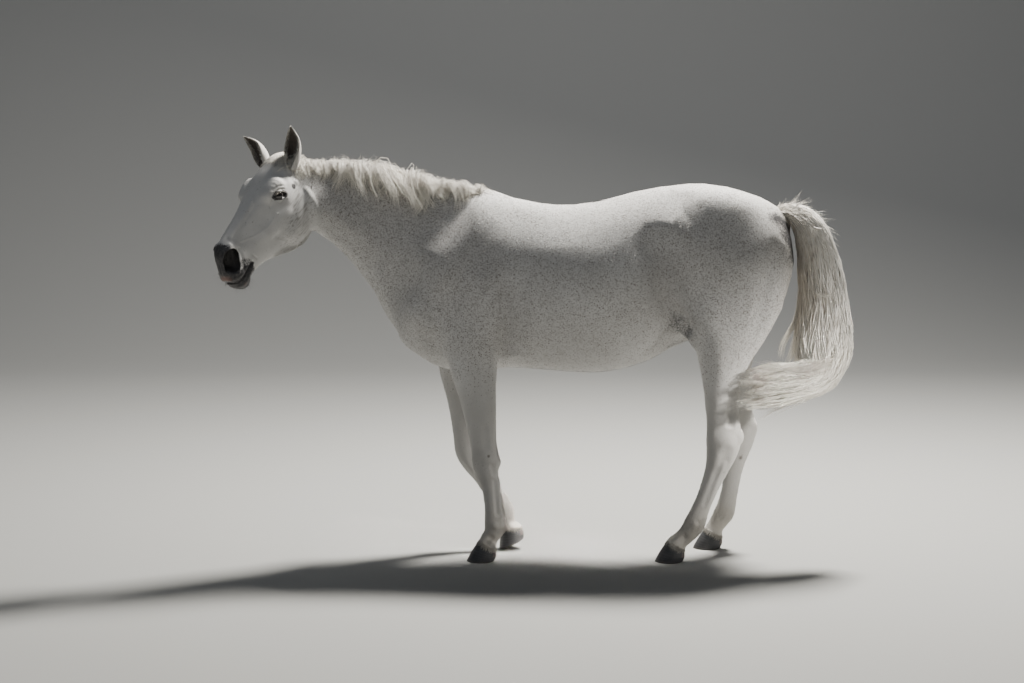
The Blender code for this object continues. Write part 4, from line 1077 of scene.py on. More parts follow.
def coat_paint(name, hairs):
    """The white coat with its flecks, darker patches, bare dark skin and painted shade, the same on the skin and on the
    hairs over it.
    """
    paint = Paint(name, 0.62, specular_ior_level=0.35)
    place = paint.stored("place")
    dark, pink, flecks = (paint.stored("marks", part) for part in range(3))
    darker_and_fold_shade, yellow, nostril_shade = (paint.stored("tones", part) for part in range(3))
    streaks, in_head, low = (paint.stored("regions", part) for part in range(3))
    face = paint.stored("face")
    cloud = paint.noise(place, 5.0, 3.0)
    mottle = paint.noise(place, 26.0, 4.0, 0.6)
    grain = paint.noise(place, 110.0, 3.0, 0.6)
    fine = paint.noise(place, 320.0, 2.0)
    lines = paint.noise(paint.stretched(face, (26.0, 210.0, 210.0), (0.0, -0.25, 0.0)), 1.0, 3.0)
    colour = paint.blend((cloud * 1.6 - 0.3).clamped(), (0.56, 0.55, 0.53), (0.7, 0.692, 0.675))
    colour = paint.blend((mottle * 2.0 - 0.85).clamped() * 0.4, colour, (0.48, 0.465, 0.45))
    # Painted shade: the lower legs are painted a darker grey.
    colour = paint.blend(low * 0.52, colour, (0.43, 0.415, 0.385))
    colour = paint.blend((yellow * (mottle * 0.9 + 0.1)).clamped() * 0.55, colour, (0.6, 0.515, 0.38))
    # Darker patches, and painted shade in the folds of the flank, elbow and groin.
    colour = paint.blend((darker_and_fold_shade * (mottle * 1.1 + 0.25)).clamped(), colour, (0.19, 0.17, 0.155))
    # Painted shade in streaks between the lines of hair on the cheeks and neck.
    colour = paint.blend(((lines * 3.6 - 1.75).clamped() * streaks * 0.9).clamped(), colour, (0.23, 0.21, 0.19))
    for scale, size, share, strength in FLECK_SIZES:
        cells = {"Vector": place, "Scale": scale}
        apart = paint.node("ShaderNodeTexVoronoi", None, cells, "Distance")
        cell_colour = paint.node("ShaderNodeTexVoronoi", None, cells, "Color")
        pick = paint.node("ShaderNodeSeparateColor", None, [cell_colour], 0)
        patchy = (paint.noise(place, 7.0, 2.0) * 1.8 - 0.3).clamped()
        chosen = ((flecks * patchy * share + pick - 1.0) * 30.0).clamped()
        speck = ((size * (pick * 0.8 + 0.3) - apart) * 14.0).clamped()
        colour = paint.blend(speck * chosen * strength, colour, (0.14, 0.105, 0.085))
    pepper = ((paint.noise(place, 165.0, 2.0, 0.7) - 0.5) * 7.0).clamped()
    colour = paint.blend((pepper * flecks * 0.75).clamped(), colour, (0.2, 0.18, 0.165))
    freckles = paint.noise(place, 190.0, 3.0, 0.6)
    # Bare dark skin, and the painted shade that is laid on as dark skin in the groin, beside the dock and behind the
    # left eye.
    bare_skin_and_shade = (dark * 2.1 - (mottle - 0.5) * 0.9 - (grain - 0.5) * 1.8 - (freckles - 0.5) * 2.4 - 0.42).clamped()
    skin_colour = paint.blend((grain * 2.4 - 0.8).clamped(), (0.014, 0.015, 0.019), (0.075, 0.07, 0.07))
    pinkish = (pink * 1.9 * (grain + 0.25)).clamped()
    skin_colour = paint.blend(pinkish, skin_colour, (0.23, 0.135, 0.112))
    # Painted shade: the deep inside of each nostril is painted nearly black.
    skin_colour = paint.blend(nostril_shade, skin_colour, (0.006, 0.005, 0.005))
    colour = paint.blend(bare_skin_and_shade, colour, skin_colour)
    paint.set("Base Color", paint.blend(fine * 0.16, colour, (0.25, 0.24, 0.23)))
    paint.set("Roughness", 0.66 - bare_skin_and_shade * 0.22 + nostril_shade * 0.1 + fine * 0.08)
    if not hairs:
        position = paint.place()
        along_body = paint.noise(paint.stretched(position, (60.0, 420.0, 300.0), (0.0, 0.9, 0.0)), 1.0, 3.0)
        down_legs = paint.noise(paint.stretched(position, (420.0, 420.0, 70.0)), 1.0, 3.0)
        down_face = paint.noise(paint.stretched(face, (80.0, 460.0, 460.0), (0.0, -0.25, 0.0)), 1.0, 3.0)
        body_lie = along_body * (1.0 - low) + down_legs * low
        lie = body_lie * (1.0 - in_head) + (down_face + lines * streaks * 1.5) * in_head
        pores = paint.noise(position, 700.0, 2.0)
        paint.set("Normal", paint.bump(lie * (1.0 - bare_skin_and_shade) + (pores * 0.5 + grain) * bare_skin_and_shade + mottle * 0.35, 0.0011, 0.75))
    return paint.material


def finish(piece, material, slot, *nodes):
    """Gives a piece its material and its place on the body, and hides the nodes that it stands for. The slot is not
    used.
    """
    piece.data.materials.append(material)
    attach(piece, "root")
    if nodes:
        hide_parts(*nodes)


skin.data.materials.clear()
skin.data.transform(Matrix.Translation(HERE.tolist()))
LEG_NODES = [f"{leg}_{part}" for leg in LEGS for part in ("upper", "lower")]
finish(skin, coat_paint("white_coat_on_skin", False), "white_coat", "trunk", "neck", "head", *LEG_NODES)

# -------- hair
# Every lock of hair is a thin tapering strand of solid mesh. Each strand has its own small patch on a map of the
# skin, at the place where it grows, and the strands of the coat carry the skin's markings from there.
PATCH = 0.003
rng = np.random.default_rng(11)


def map_place(points):
    """Where each point of the skin lies on its unwrapped map: trunk and neck above, head and four legs below."""
    flat = np.zeros((len(points), 2))
    body = body_frame(points)

    def around(sideways, upwards):
        return np.arctan2(sideways, upwards) / (2 * math.pi) + 0.5

    middle = np.interp(points[:, 0], [row[0] for row in TRUNK], [(row[1] + row[2]) / 2 for row in TRUNK])
    middle = np.where(points[:, 0] < -0.55, np.interp(points[:, 0], [-1.0, -0.55], [1.53, 1.32]), middle)
    flat[:, 0] = 0.02 + 0.96 * (points[:, 0] + 1.15) / 2.5
    flat[:, 1] = 0.52 + 0.46 * around(body[:, 1], middle - points[:, 2])
    local = head_frame(points)
    head = share_in_head(points) > 0.5
    flat[head, 0] = 0.52 + 0.46 * (local[head, 0] + 0.08) / 0.7
    flat[head, 1] = 0.02 + 0.46 * around(local[:, 1], local[:, 2] + 0.14)[head]
    for number, (side, stations) in enumerate(LEGS.values()):
        x, heights, _, _, aside = np.array(stations)[::-1].T
        centre_x = np.interp(points[:, 2], heights, x)
        centre_y = SIDES[side] * np.interp(points[:, 2], heights, aside)
        own = (points[:, 2] < 0.8) & (points[:, 1] * SIDES[side] > 0) & ((points[:, 0] < 0.2) == (number < 2)) & ~head
        flat[own, 0] = 0.02 + 0.115 * number + 0.1 * around(points[:, 1] - centre_y, points[:, 0] - centre_x)[own]
        flat[own, 1] = 0.02 + 0.46 * points[own, 2] / 0.8
    return np.clip(flat, 0.004, 0.996)


def unit(vectors):
    """The same vectors, each one long."""
    return vectors / np.maximum(np.linalg.norm(vectors, axis=-1, keepdims=True), 1e-9)


def tapered(paths, width, tip, spread=None):
    """Half widths along the hairs, thinning to the tip's share, each hair's own within the spread."""
    count, length = paths.shape[:2]
    each = rng.uniform(*spread, count) if spread else np.ones(count)
    return width * np.linspace(1.0, tip, length - 1)[None, :] * each[:, None]


def strands(name, paths, widths, facing, roots, shades, flatness=0.6, marked=False):
    """Solid three-sided hairs: paths (n, m, 3), half widths (n, m - 1) and the ways their flat sides face (n, 3)."""
    sides = 3
    count, length = paths.shape[:2]
    along = np.empty_like(paths)
    along[:, 1:-1] = paths[:, 2:] - paths[:, :-2]
    along[:, 0], along[:, -1] = paths[:, 1] - paths[:, 0], paths[:, -1] - paths[:, -2]
    along = unit(along)
    across = unit(np.cross(along, facing[:, None, :]))
    outwards = np.cross(across, along)
    angles = 2 * math.pi * np.arange(sides) / sides + math.pi / 2
    offsets = across[:, :-1, None] * np.cos(angles)[:, None]
    offsets = offsets + outwards[:, :-1, None] * np.sin(angles)[:, None] * flatness
    rings = paths[:, :-1, None] + offsets * widths[:, :, None, None]
    points = np.concatenate([rings.reshape(count, -1, 3), paths[:, -1:]], axis=1)
    each = points.shape[1]
    faces = []
    for level in range(length - 2):
        for k in range(sides):
            n = (k + 1) % sides
            low, high = level * sides, (level + 1) * sides
            faces += [(low + k, low + n, high + n), (low + k, high + n, high + k)]
    last = (length - 2) * sides
    faces += [(last + k, last + (k + 1) % sides, each - 1) for k in range(sides)]
    faces += [(0, k + 1, k) for k in range(1, sides - 1)]
    faces = (np.arange(count)[:, None, None] * each + np.array(faces)[None]).reshape(-1, 3)
    mesh = bpy.data.meshes.new(name)
    mesh.vertices.add(count * each)
    mesh.vertices.foreach_set("co", (points.reshape(-1, 3) + HERE).ravel())
    mesh.loops.add(faces.size)
    mesh.loops.foreach_set("vertex_index", faces.ravel())
    mesh.polygons.add(len(faces))
    mesh.polygons.foreach_set("loop_start", np.arange(len(faces)) * 3)
    mesh.update(calc_edges=True)
    piece = in_scene(name, mesh)
    mesh.shade_smooth()
    share = np.append(np.repeat(np.arange(length - 1) / (length - 1), sides), 1.0)
    turn = np.append(np.tile(np.arange(sides) / sides, length - 1), 0.5)
    patch = np.stack([turn, share], axis=1) * PATCH
    places = (map_place(roots)[:, None, :] + patch[None]).reshape(-1, 2)
    mesh.uv_layers.new(name="OFBake").data.foreach_set("uv", places[faces.ravel()].ravel())
    if marked:
        add_vectors(piece, "place", np.repeat(roots, each, axis=0))
        for key, values in zip(MARKS, markings(roots)):
            add_vectors(piece, key, np.repeat(values, each, axis=0))
    hair = np.stack([np.repeat(shades, each), np.tile(share, count), np.zeros(count * each)], axis=1)
    add_vectors(piece, "hair", hair)
    return piece


def on_skin(paths, clearance):
    """Lifts each path's points out of the skin, to lie at least the clearance over it."""
    lifted = paths.copy()
    for i, path in enumerate(paths):
        for j, point in enumerate(path):
            place, normal, _, _ = surface.find_nearest(Vector(point), 0.12)
            if place is not None and (Vector(point) - place).dot(normal) < clearance[i, j]:
                lifted[i, j] = place + normal * clearance[i, j]
    return lifted


def hair_paint(name, pale, deep, tips=None):
    """A long hair's finish: streaked along the strand, and paler towards its tip for bleached ends and painted light on
    the tail's swish.
    """
    paint = Paint(name, 0.48, specular_ior_level=0.5)
    shade, along = paint.stored("hair", 0), paint.stored("hair", 1)
    streak = paint.noise(paint.stretched(paint.place(), (160.0, 160.0, 12.0)), 1.0, 3.0)
    tone = (shade * 0.85 + streak * 0.6 - 0.22).clamped() * (1.0 - along * along * 0.75)
    colour = paint.blend(tone, pale, deep)
    bleached_and_lit = ((along - 0.5) * 4.0).clamped()
    paint.set("Base Color", paint.blend(bleached_and_lit * 0.94, colour, tips or pale))
    paint.set("Normal", paint.bump(streak, 0.0006, 0.5))
    return paint.material


BLEACHED_AND_LIT_TIPS = (0.93, 0.895, 0.815)
cream_hair = hair_paint("cream_white_hair", (0.88, 0.855, 0.8), (0.52, 0.455, 0.37), BLEACHED_AND_LIT_TIPS)
# The tail's inner hair is painted darker, as painted shade.
shaded_hair = hair_paint("inner_tail_hair_in_painted_shade", (0.42, 0.36, 0.295), (0.16, 0.125, 0.1), BLEACHED_AND_LIT_TIPS)


# -------- mane
# Thin, wavy cream-white hair grows from the crest between the ears and the withers. It falls on the left side of
# the neck in pointed locks, and the shortest hairs stand up over the crest.
CREST = np.array(sorted((row[0], row[1], row[4]) for row in NECK)).T
MANE_LENGTH = table("""
-1000 90
-930 110
-860 125
-800 150
-740 195
-690 265
-640 215
-570 180
-500 210
-450 175
-400 160
-340 130
-280 95
-200 55
""")
MANE_POINTS, CLUMP = 8, 0.036


def crest_place(x):
    """The places on the crest of the neck at these x."""
    return np.stack([x, -np.interp(x, CREST[0], CREST[2]), np.interp(x, CREST[0], CREST[1])], axis=-1)


def lock_paths(roots, first, second, length, points, bend_from=0.05, bend_to=0.55):
    """Hairs that leave their roots along the first directions and bend over to the second ones."""
    t = np.linspace(0, 1, points)
    bend = ease(t, bend_from, bend_to)[None, :, None]
    headings = unit(first[:, None] * (1 - bend) + second[:, None] * bend)
    steps = headings[:, :-1] * (length / (points - 1))[:, None, None]
    return roots[:, None] + np.concatenate([np.zeros_like(roots)[:, None], np.cumsum(steps, axis=1)], axis=1)


def mane_hairs(count, low_x, high_x, length_scale, lift, fall, bend_to, gather=0.9, aside=-1.0):
    """Hairs of the crest in separate locks, each with its own width, length, lean and wave."""
    edges = -1.04 + np.cumsum(rng.uniform(0.35, 1.3, 60) * CLUMP * np.linspace(0.55, 1.25, 60))
    centres = np.append(edges - CLUMP * 0.5, edges[-1])
    x = low_x + (high_x - low_x) * rng.beta(0.95, 1.0, count)
    roots = crest_place(x)
    roots[:, 1] += rng.normal(aside * 0.006, 0.011, count)
    roots[:, 2] -= 0.006
    clumps = np.searchsorted(edges, x + rng.normal(0, 0.01, count))
    spread = rng.normal(0, 1, (61, 4))[clumps]
    length = np.interp(x, *zip(*MANE_LENGTH)) * length_scale
    length = length * np.clip(1.0 + 0.32 * spread[:, 0], 0.35, 1.5) * rng.uniform(0.45, 1.08, count)
    back = rng.normal(0.75, 0.18, count) + 0.35 * spread[:, 1]
    first = unit(np.stack([back, aside * 0.75 + rng.normal(0, 0.22, count), lift + rng.normal(0, 0.18, count)], axis=1))
    lean = 0.16 + 0.42 * spread[:, 2] + rng.normal(0, 0.07, count)
    second = unit(np.stack([lean, np.full(count, aside * 0.2), np.full(count, -fall)], axis=1))
    paths = lock_paths(roots, first, second, length, MANE_POINTS, 0.0, bend_to)
    t = np.linspace(0, 1, MANE_POINTS)[None, :]
    paths[:, :, 0] += gather * ease(t, 0.12, 1.0) * (centres[clumps] - x)[:, None]
    phase = spread[:, 3:4] * 3 + rng.normal(0, 0.35, count)[:, None]
    paths[:, :, 0] += 0.01 * np.sin(t * 8.5 + phase) * t
    paths[:, :, 2] += 0.005 * np.sin(t * 7.0 + phase * 1.7) * t
    return x, paths, spread


# Two layers, the upper shorter and more tousled.
UNDER, UPPER, FAR_LOCKS, WISPS = 2500, 2300, 1000, 700
NEAR_WAY, FAR_WAY = unit(np.array([[0.0, -0.9, 0.45]])), unit(np.array([[0.0, 0.9, 0.45]]))
under = mane_hairs(UNDER, -1.0, -0.2, 1.0, 0.32, 1.05, 0.42)
upper = mane_hairs(UPPER, -0.99, -0.21, 0.72, 0.55, 0.8, 0.6, 0.75)
x, paths, spread = (np.concatenate(pair) for pair in zip(under, upper))
layer = np.append(np.full(UNDER, 0.008), np.full(UPPER, 0.02)) * rng.uniform(0, 1, len(x))
layer = 0.0015 + layer[:, None] * np.sin(np.linspace(0.3, 2.7, MANE_POINTS))[None, :]
paths = on_skin(paths, layer)
paths[:, 0] -= (0.0, 0.0, 0.004)
widths = tapered(paths, 0.0016, 0.25, (0.5, 1.25))
shades = np.clip(rng.normal(0.2, 0.16, len(x)) + 0.12 * spread[:, 1], 0, 1)
finish(strands("mane_locks", paths, widths, NEAR_WAY, crest_place(x), shades), cream_hair, "cream_hair", "mane")

# Shorter locks fall over the crest to the other side.
x, paths, spread = mane_hairs(FAR_LOCKS, -1.0, -0.2, 0.5, 0.55, 0.75, 0.6, 0.55, 1.0)
drape = np.cos(np.linspace(0, math.pi / 2, MANE_POINTS))[None, :]
paths = on_skin(paths, 0.001 + (0.003 + 0.022 * drape) * rng.uniform(0.4, 1, FAR_LOCKS)[:, None])
paths[:, 0] -= (0.0, 0.0, 0.004)
far_mane = strands("mane_far_locks", paths, tapered(paths, 0.0015, 0.25, (0.5, 1.2)), FAR_WAY, crest_place(x),
                   rng.uniform(0, 0.35, FAR_LOCKS))
finish(far_mane, cream_hair, "cream_hair")

# Wisps stand up over it.
x, paths, spread = mane_hairs(WISPS, -0.96, -0.2, 0.34, 1.3, -0.05, 1.0)
wisps = strands("mane_wisps", paths, tapered(paths, 0.001, 0.2, (0.5, 1.1)), NEAR_WAY, crest_place(x),
                rng.uniform(0, 0.35, WISPS))
finish(wisps, cream_hair, "cream_hair")

# -------- forelock
# A short white tuft grows on the poll between the ears and lies forwards down the forehead.
FORELOCK_HAIRS, FORELOCK_POINTS = 900, 7
down_face, to_left, forehead = HEAD_AXES
aside = rng.normal(0, 0.013, FORELOCK_HAIRS)
start = rng.uniform(-0.045, 0.035, FORELOCK_HAIRS)
roots = from_head_frame(np.stack([start, aside, np.full(FORELOCK_HAIRS, -0.012)], axis=1))
roots = np.array([list(surface.find_nearest(Vector(place))[0]) for place in roots.tolist()])
sideways = (rng.normal(0.1, 0.3, FORELOCK_HAIRS) + aside * 8)[:, None]
first = unit(down_face * 0.75 + forehead * rng.uniform(0.15, 0.75, FORELOCK_HAIRS)[:, None] + to_left * sideways)
second = unit(down_face * 1.0 - forehead * 0.25 + to_left * sideways * 0.7)
paths = lock_paths(roots, first, second, rng.uniform(0.035, 0.095, FORELOCK_HAIRS), FORELOCK_POINTS)
paths = on_skin(paths, 0.001 + 0.007 * rng.uniform(0, 1, FORELOCK_HAIRS)[:, None] * np.ones(FORELOCK_POINTS))
paths[:, 0] -= forehead * 0.006
forelock = strands("forelock_locks", paths, tapered(paths, 0.0013, 0.25, (0.5, 1.2)), forehead[None], roots,
                   np.clip(rng.normal(0.18, 0.15, FORELOCK_HAIRS), 0, 1))
finish(forelock, cream_hair, "cream_hair", "forelock")

# -------- tail
# Long, heavy cream hair grows all round the dock, arches out behind and falls to the hocks. Its lower end is swung
# forwards past the outside of the left hind leg, and a few strays part from it.
TAIL = table("""
1020 0 1440 30 30
1062 0 1440 36 36
1115 2 1416 52 44
1155 6 1365 66 50
1180 10 1290 76 56
1198 16 1190 88 60
1214 24 1075 94 62
1213 36 960 113 60
1208 56 865 114 56
1185 86 780 86 50
1100 130 740 70 44
1000 175 728 74 40
930 205 718 66 32
880 228 708 46 22
856 238 700 22 12
""")
OUTER_LOCKS, INNER_LOCKS, RUFFLED, TAIL_POINTS = 1400, 900, 1500, 20
tail_rows = np.array(blend_stations(np.array(TAIL) * (1, -1, 1, 1, 1), 10))
tail_line = tail_rows[:, :3]
tail_along = unit(np.gradient(tail_line, axis=0))
tail_side = unit(np.array([0.0, 1.0, 0.0]) - tail_along * tail_along[:, 1:2])
tail_back = np.cross(tail_side, tail_along)


def down_tail(share, angle, radius):
    """Places in the tail: a share of its length down, round it, and out from its middle (1 on its outside)."""
    at = np.clip(share, 0, 1) * (len(tail_line) - 1)
    low = np.minimum(at.astype(int), len(tail_line) - 2)
    part = (at - low)[..., None]
    pick = lambda values: values[low] * (1 - part) + values[low + 1] * part
    reach = pick(tail_rows[:, 3:5])
    side, back = pick(tail_side), pick(tail_back)
    over = np.clip(share - 1, 0, 1)[..., None] * pick(tail_along) * 0.9
    return pick(tail_line) + over + (side * (np.cos(angle) * reach[..., 1] * radius)[..., None]
                                     + back * (np.sin(angle) * reach[..., 0] * radius)[..., None])


TAIL_CLUMPS = 34
clump_drift = rng.normal(0, 1, (TAIL_CLUMPS, 3)) * (0.018, 0.014, 0.02)
clump_end = rng.uniform(0.8, 1.03, TAIL_CLUMPS)


def tail_hairs(count, start, length, thickness, radius_low, radius_high, wander):
    """Hairs that start near the dock, follow the tail's line on its outside and gather into separate pointed ends."""
    base = rng.uniform(-math.pi, math.pi, count)
    clump = np.floor((base + math.pi) / (2 * math.pi) * TAIL_CLUMPS).astype(int) % TAIL_CLUMPS
    middle_angle = (clump + 0.5) / TAIL_CLUMPS * 2 * math.pi - math.pi
    first = rng.uniform(*start, count)
    last = np.minimum(clump_end[clump] * rng.uniform(*length, count), 1.05)
    t = np.linspace(0, 1, TAIL_POINTS)[None, :]
    share = first[:, None] + (last - first)[:, None] * t
    waves, phase = rng.uniform(6, 13, count)[:, None], rng.uniform(0, 6.3, count)[:, None]
    drift = wander * np.sin(share * waves + phase) * ease(t, 0.05, 0.5)
    angle = base[:, None] + drift + (middle_angle - base)[:, None] * 0.6 * ease(share, 0.45, 0.95)
    radius = rng.uniform(radius_low, radius_high, count)[:, None] * (0.6 + 0.4 * ease(share, 0.0, 0.14))
    radius = radius * (1 + 0.06 * np.sin(share * 41 + clump[:, None] * 2.4) * ease(share, 0.1, 0.4))
    paths = down_tail(share, angle, radius)
    loose = ease(share, 0.52, 1.0)[..., None]
    paths = paths + (clump_drift[clump] + rng.normal(0, 1, (count, 3)) * (0.006, 0.005, 0.006))[:, None] * loose
    paths[:, :, 2] += 0.016 * loose[..., 0] ** 2 * np.sin(clump * 1.7)[:, None]
    widths = thickness * (1 - 0.78 * ease(t[:, :-1], 0.55, 1.0)) * rng.uniform(0.5, 1.2, count)[:, None]
    facing = unit(paths[:, 8] - down_tail(share[:, 8], angle[:, 8], np.zeros(count)))
    return paths, widths, facing, base


# A slim core stands for the dock, and ends well above the tips.
core_rings = []
for number in range(3, int(len(tail_rows) * 0.72), 4):
    row, side, back = tail_rows[number], tail_side[number], tail_back[number]
    slim = 0.76 - 0.66 * float(ease(number / len(tail_rows), 0.44, 0.72))
    core_rings.append(ring(Vector(row[:3].tolist()), Vector(back.tolist()), Vector(side.tolist()), row[3] * slim,
                           (row[4] * slim,) * 3, 2.0, 20))
core = in_scene("tail_core", loft("tail_core", core_rings))
core.data.transform(Matrix.Translation(HERE.tolist()))
finish(core, cream_hair, "cream_hair", "tail_dock", "tail_upper", "tail_middle", "tail_lower")

# Painted shade: the inner locks take the darker hair, and in both layers the hairs on the tail's front side, towards
# the legs, are painted darker.
for name, count, shape, (middle, swing, spread), material in (
    ("outer", OUTER_LOCKS, ((0.0, 0.18), (0.78, 1.0), 0.0032, 0.82, 1.03, 0.28), (0.36, 0.46, 0.2), cream_hair),
    ("inner", INNER_LOCKS, ((0.02, 0.3), (0.6, 1.0), 0.0034, 0.66, 0.96, 0.42), (0.45, 0.4, 0.25), shaded_hair),
):
    paths, widths, facing, base = tail_hairs(count, *shape)
    shades = np.clip(middle + swing * np.sin(base) + rng.normal(0, spread, count), 0, 1)
    finish(strands(f"tail_{name}_locks", paths, widths, facing, paths[:, 0], shades), material, "cream_hair")

# Short ruffled hair round the dock.
share = rng.uniform(0.0, 0.34, RUFFLED) ** 1.15
angle = rng.uniform(-2.3, 2.3, RUFFLED) - math.pi / 2
roots = down_tail(share, angle, np.full(RUFFLED, 0.78))
outward = unit(roots - down_tail(share, angle, np.zeros(RUFFLED)))
onward = unit(down_tail(share + 0.05, angle, np.full(RUFFLED, 0.78)) - roots)
rise_and_fall = 0.35 + 0.65 * ease(share, 0.02, 0.1) - 0.5 * ease(share, 0.15, 0.34)
lift = rng.uniform(0.1, 0.85, RUFFLED)[:, None] * rise_and_fall[:, None]
tuft = (np.round(share * 60) * 7 + np.round(angle * 5)).astype(int) % 97
tuft_way = rng.normal(0, 0.26, (97, 3))[tuft]
first = unit(outward * lift + onward + tuft_way + rng.normal(0, 0.08, (RUFFLED, 3)))
second = unit(onward + outward * lift * 0.45 + tuft_way * 1.3 + rng.normal(0, 0.08, (RUFFLED, 3)))
length = rng.uniform(0.035, 0.095, RUFFLED) * (0.55 + 0.45 * ease(share, 0.0, 0.08))
paths = lock_paths(roots, first, second, length, 7)
ruffle = strands("dock_hairs", paths, tapered(paths, 0.0015, 0.22, (0.5, 1.2)), outward, roots,
                 np.clip(rng.normal(0.15, 0.15, RUFFLED), 0, 1))
finish(ruffle, cream_hair, "cream_hair")

# Loose locks: how many hairs in each one, how far they spread and the line they take. The first three are darker,
# painted shade on the tail's inner side.
LOOSE_LOCKS = """
110 8 | 1150 -30 1260  1120 -30 1140  1098 -40 1000  1040 -50 895  1032 -50 815
150 11 | 1160 -30 1240  1132 -35 1090  1112 -40 960  1082 -50 855  1064 -50 805
150 14 | 1170 -35 1150  1150 -40 1020  1125 -50 900  1100 -60 820  1075 -70 780
130 17 | 1230 -100 830  1130 -150 800  1040 -175 808  975 -190 822  925 -200 826
110 14 | 1220 -110 780  1080 -170 750  960 -210 748  880 -232 756  822 -240 760
110 14 | 1150 -120 720  1000 -185 690  920 -215 682  870 -232 675  826 -240 668
26 16 | 1120 -140 700  1060 -160 670  1000 -170 640  960 -175 612  930 -180 592
26 6 | 1170 -100 1130  1188 -104 1108  1212 -104 1100  1238 -100 1104  1262 -90 1118
"""
loose_paths, loose_shades = [], []
for number, line in enumerate(LOOSE_LOCKS.strip().splitlines()):
    hairs, *numbers = line.split()
    hairs, (apart, *path) = int(hairs), metres(numbers)
    t = np.linspace(0, 1, 12)
    rows = np.array(blend_stations(np.reshape(path, (-1, 3)), 6))
    middle = np.stack([np.interp(t, np.linspace(0, 1, len(rows)), rows[:, k]) for k in range(3)], axis=1)
    start, end = rng.normal(0, apart * 0.8, (hairs, 3)), rng.normal(0, apart, (hairs, 3)) * (1.3, 0.7, 0.8)
    bundle = middle[None] + start[:, None] * (1 - t)[None, :, None] + end[:, None] * t[None, :, None] ** 1.5
    bundle += 0.004 * np.sin(t * 8 + rng.uniform(0, 6.3, hairs)[:, None])[..., None] * t[None, :, None]
    keep = rng.uniform(0.55, 1.0, hairs)
    at = t[None, :] * keep[:, None] * 11
    low = np.minimum(at.astype(int), 10)
    part = (at - low)[..., None]
    each = np.arange(hairs)[:, None]
    loose_paths.append(bundle[each, low] * (1 - part) + bundle[each, low + 1] * part)
    loose_shades.append(rng.uniform(0.05, 0.6, hairs) + (0.45 if number < 3 else 0.0))
paths = np.concatenate(loose_paths)
strays = strands("tail_loose_locks", paths, tapered(paths, 0.0017, 0.2, (0.5, 1.1)), np.array([[0.3, -0.9, 0.2]]),
                 paths[:, 0], np.concatenate(loose_shades))
finish(strays, cream_hair, "cream_hair")

# -------- eyes
# Each is a dark wet ball with a brown iris and a level oblong pupil. The smooth black edges of the lids lie on it,
# with short pale lashes on the upper one.
LID_POINTS, LASHES = 64, 90


def eye_point(sign, long_way, high_way, outwards):
    """Points round one eye, from places along its corners, towards its upper lid and out of the head."""
    down, aside, out = EYE_PLACE
    along = long_way * math.cos(EYE_SLANT) - high_way * math.sin(EYE_SLANT)
    across = long_way * math.sin(EYE_SLANT) + high_way * math.cos(EYE_SLANT)
    return from_head_frame(np.stack([down + along, sign * (aside + outwards), out + across], axis=-1))


def ring_faces(rings, columns, closed=False):
    """Squares from each ring of points to the next one, and from the last to the first of a closed loop."""
    faces = []
    for level in range(rings if closed else rings - 1):
        low, high = level * columns, (level + 1) % rings * columns
        for k in range(columns):
            n = (k + 1) % columns
            faces.append((low + k, low + n, high + n, high + k))
    return faces


def tube(name, line, radii, normals, sides=8):
    """A closed loop of tube along a line of points, flattened against the normals."""
    ahead = unit(np.roll(line, -1, axis=0) - np.roll(line, 1, axis=0))
    across = unit(np.cross(ahead, normals))
    up = np.cross(across, ahead)
    angles = 2 * math.pi * np.arange(sides) / sides
    rings = (line[:, None] + across[:, None] * (np.cos(angles)[None, :, None] * radii[:, None, None])
             + up[:, None] * (np.sin(angles)[None, :, None] * radii[:, None, None] * 0.8))
    return new_piece(name, rings.reshape(-1, 3), ring_faces(len(line), sides, True))


def turned_outwards(piece):
    """Turns all faces of a closed piece outwards."""
    choose_only(piece)
    bpy.ops.object.mode_set(mode="EDIT")
    bpy.ops.mesh.select_all(action="SELECT")
    bpy.ops.mesh.normals_make_consistent(inside=False)
    bpy.ops.object.mode_set(mode="OBJECT")


wet_eye = Paint("dark_wet_eye", 0.06, coat_weight=1.0, coat_roughness=0.02, specular_ior_level=0.6)
along_eye, up_eye = wet_eye.stored("eye", 0), wet_eye.stored("eye", 1)
from_middle = ((along_eye * along_eye * 0.72) + up_eye * up_eye) ** 0.5
pupil_edge = ((along_eye * along_eye * 0.3) + up_eye * up_eye * 1.9) ** 0.5
rays = wet_eye.noise(wet_eye.stored("eye"), 300.0, 3.0)
iris = wet_eye.blend(rays, (0.007, 0.0045, 0.003), (0.022, 0.012, 0.007))
eye_colour = wet_eye.blend(((pupil_edge - 0.0062) * 900.0).clamped(), (0.003, 0.003, 0.004), iris)
eye_colour = wet_eye.blend(((from_middle - 0.015) * 500.0).clamped(), eye_colour, (0.01, 0.008, 0.007))
wet_eye.set("Base Color", eye_colour)

lid_skin = Paint("black_lid_edge", 0.3, coat_weight=0.4, coat_roughness=0.15)
lid_mottle = lid_skin.noise(lid_skin.place(), 900.0)
lid_skin.set("Base Color", lid_skin.blend(lid_mottle, (0.012, 0.011, 0.011), (0.05, 0.045, 0.042)))

dark_hair = hair_paint("dark_lash_and_feeler", (0.11, 0.095, 0.085), (0.04, 0.034, 0.03))
grey_hair = hair_paint("pale_lash", (0.48, 0.45, 0.4), (0.2, 0.18, 0.16))

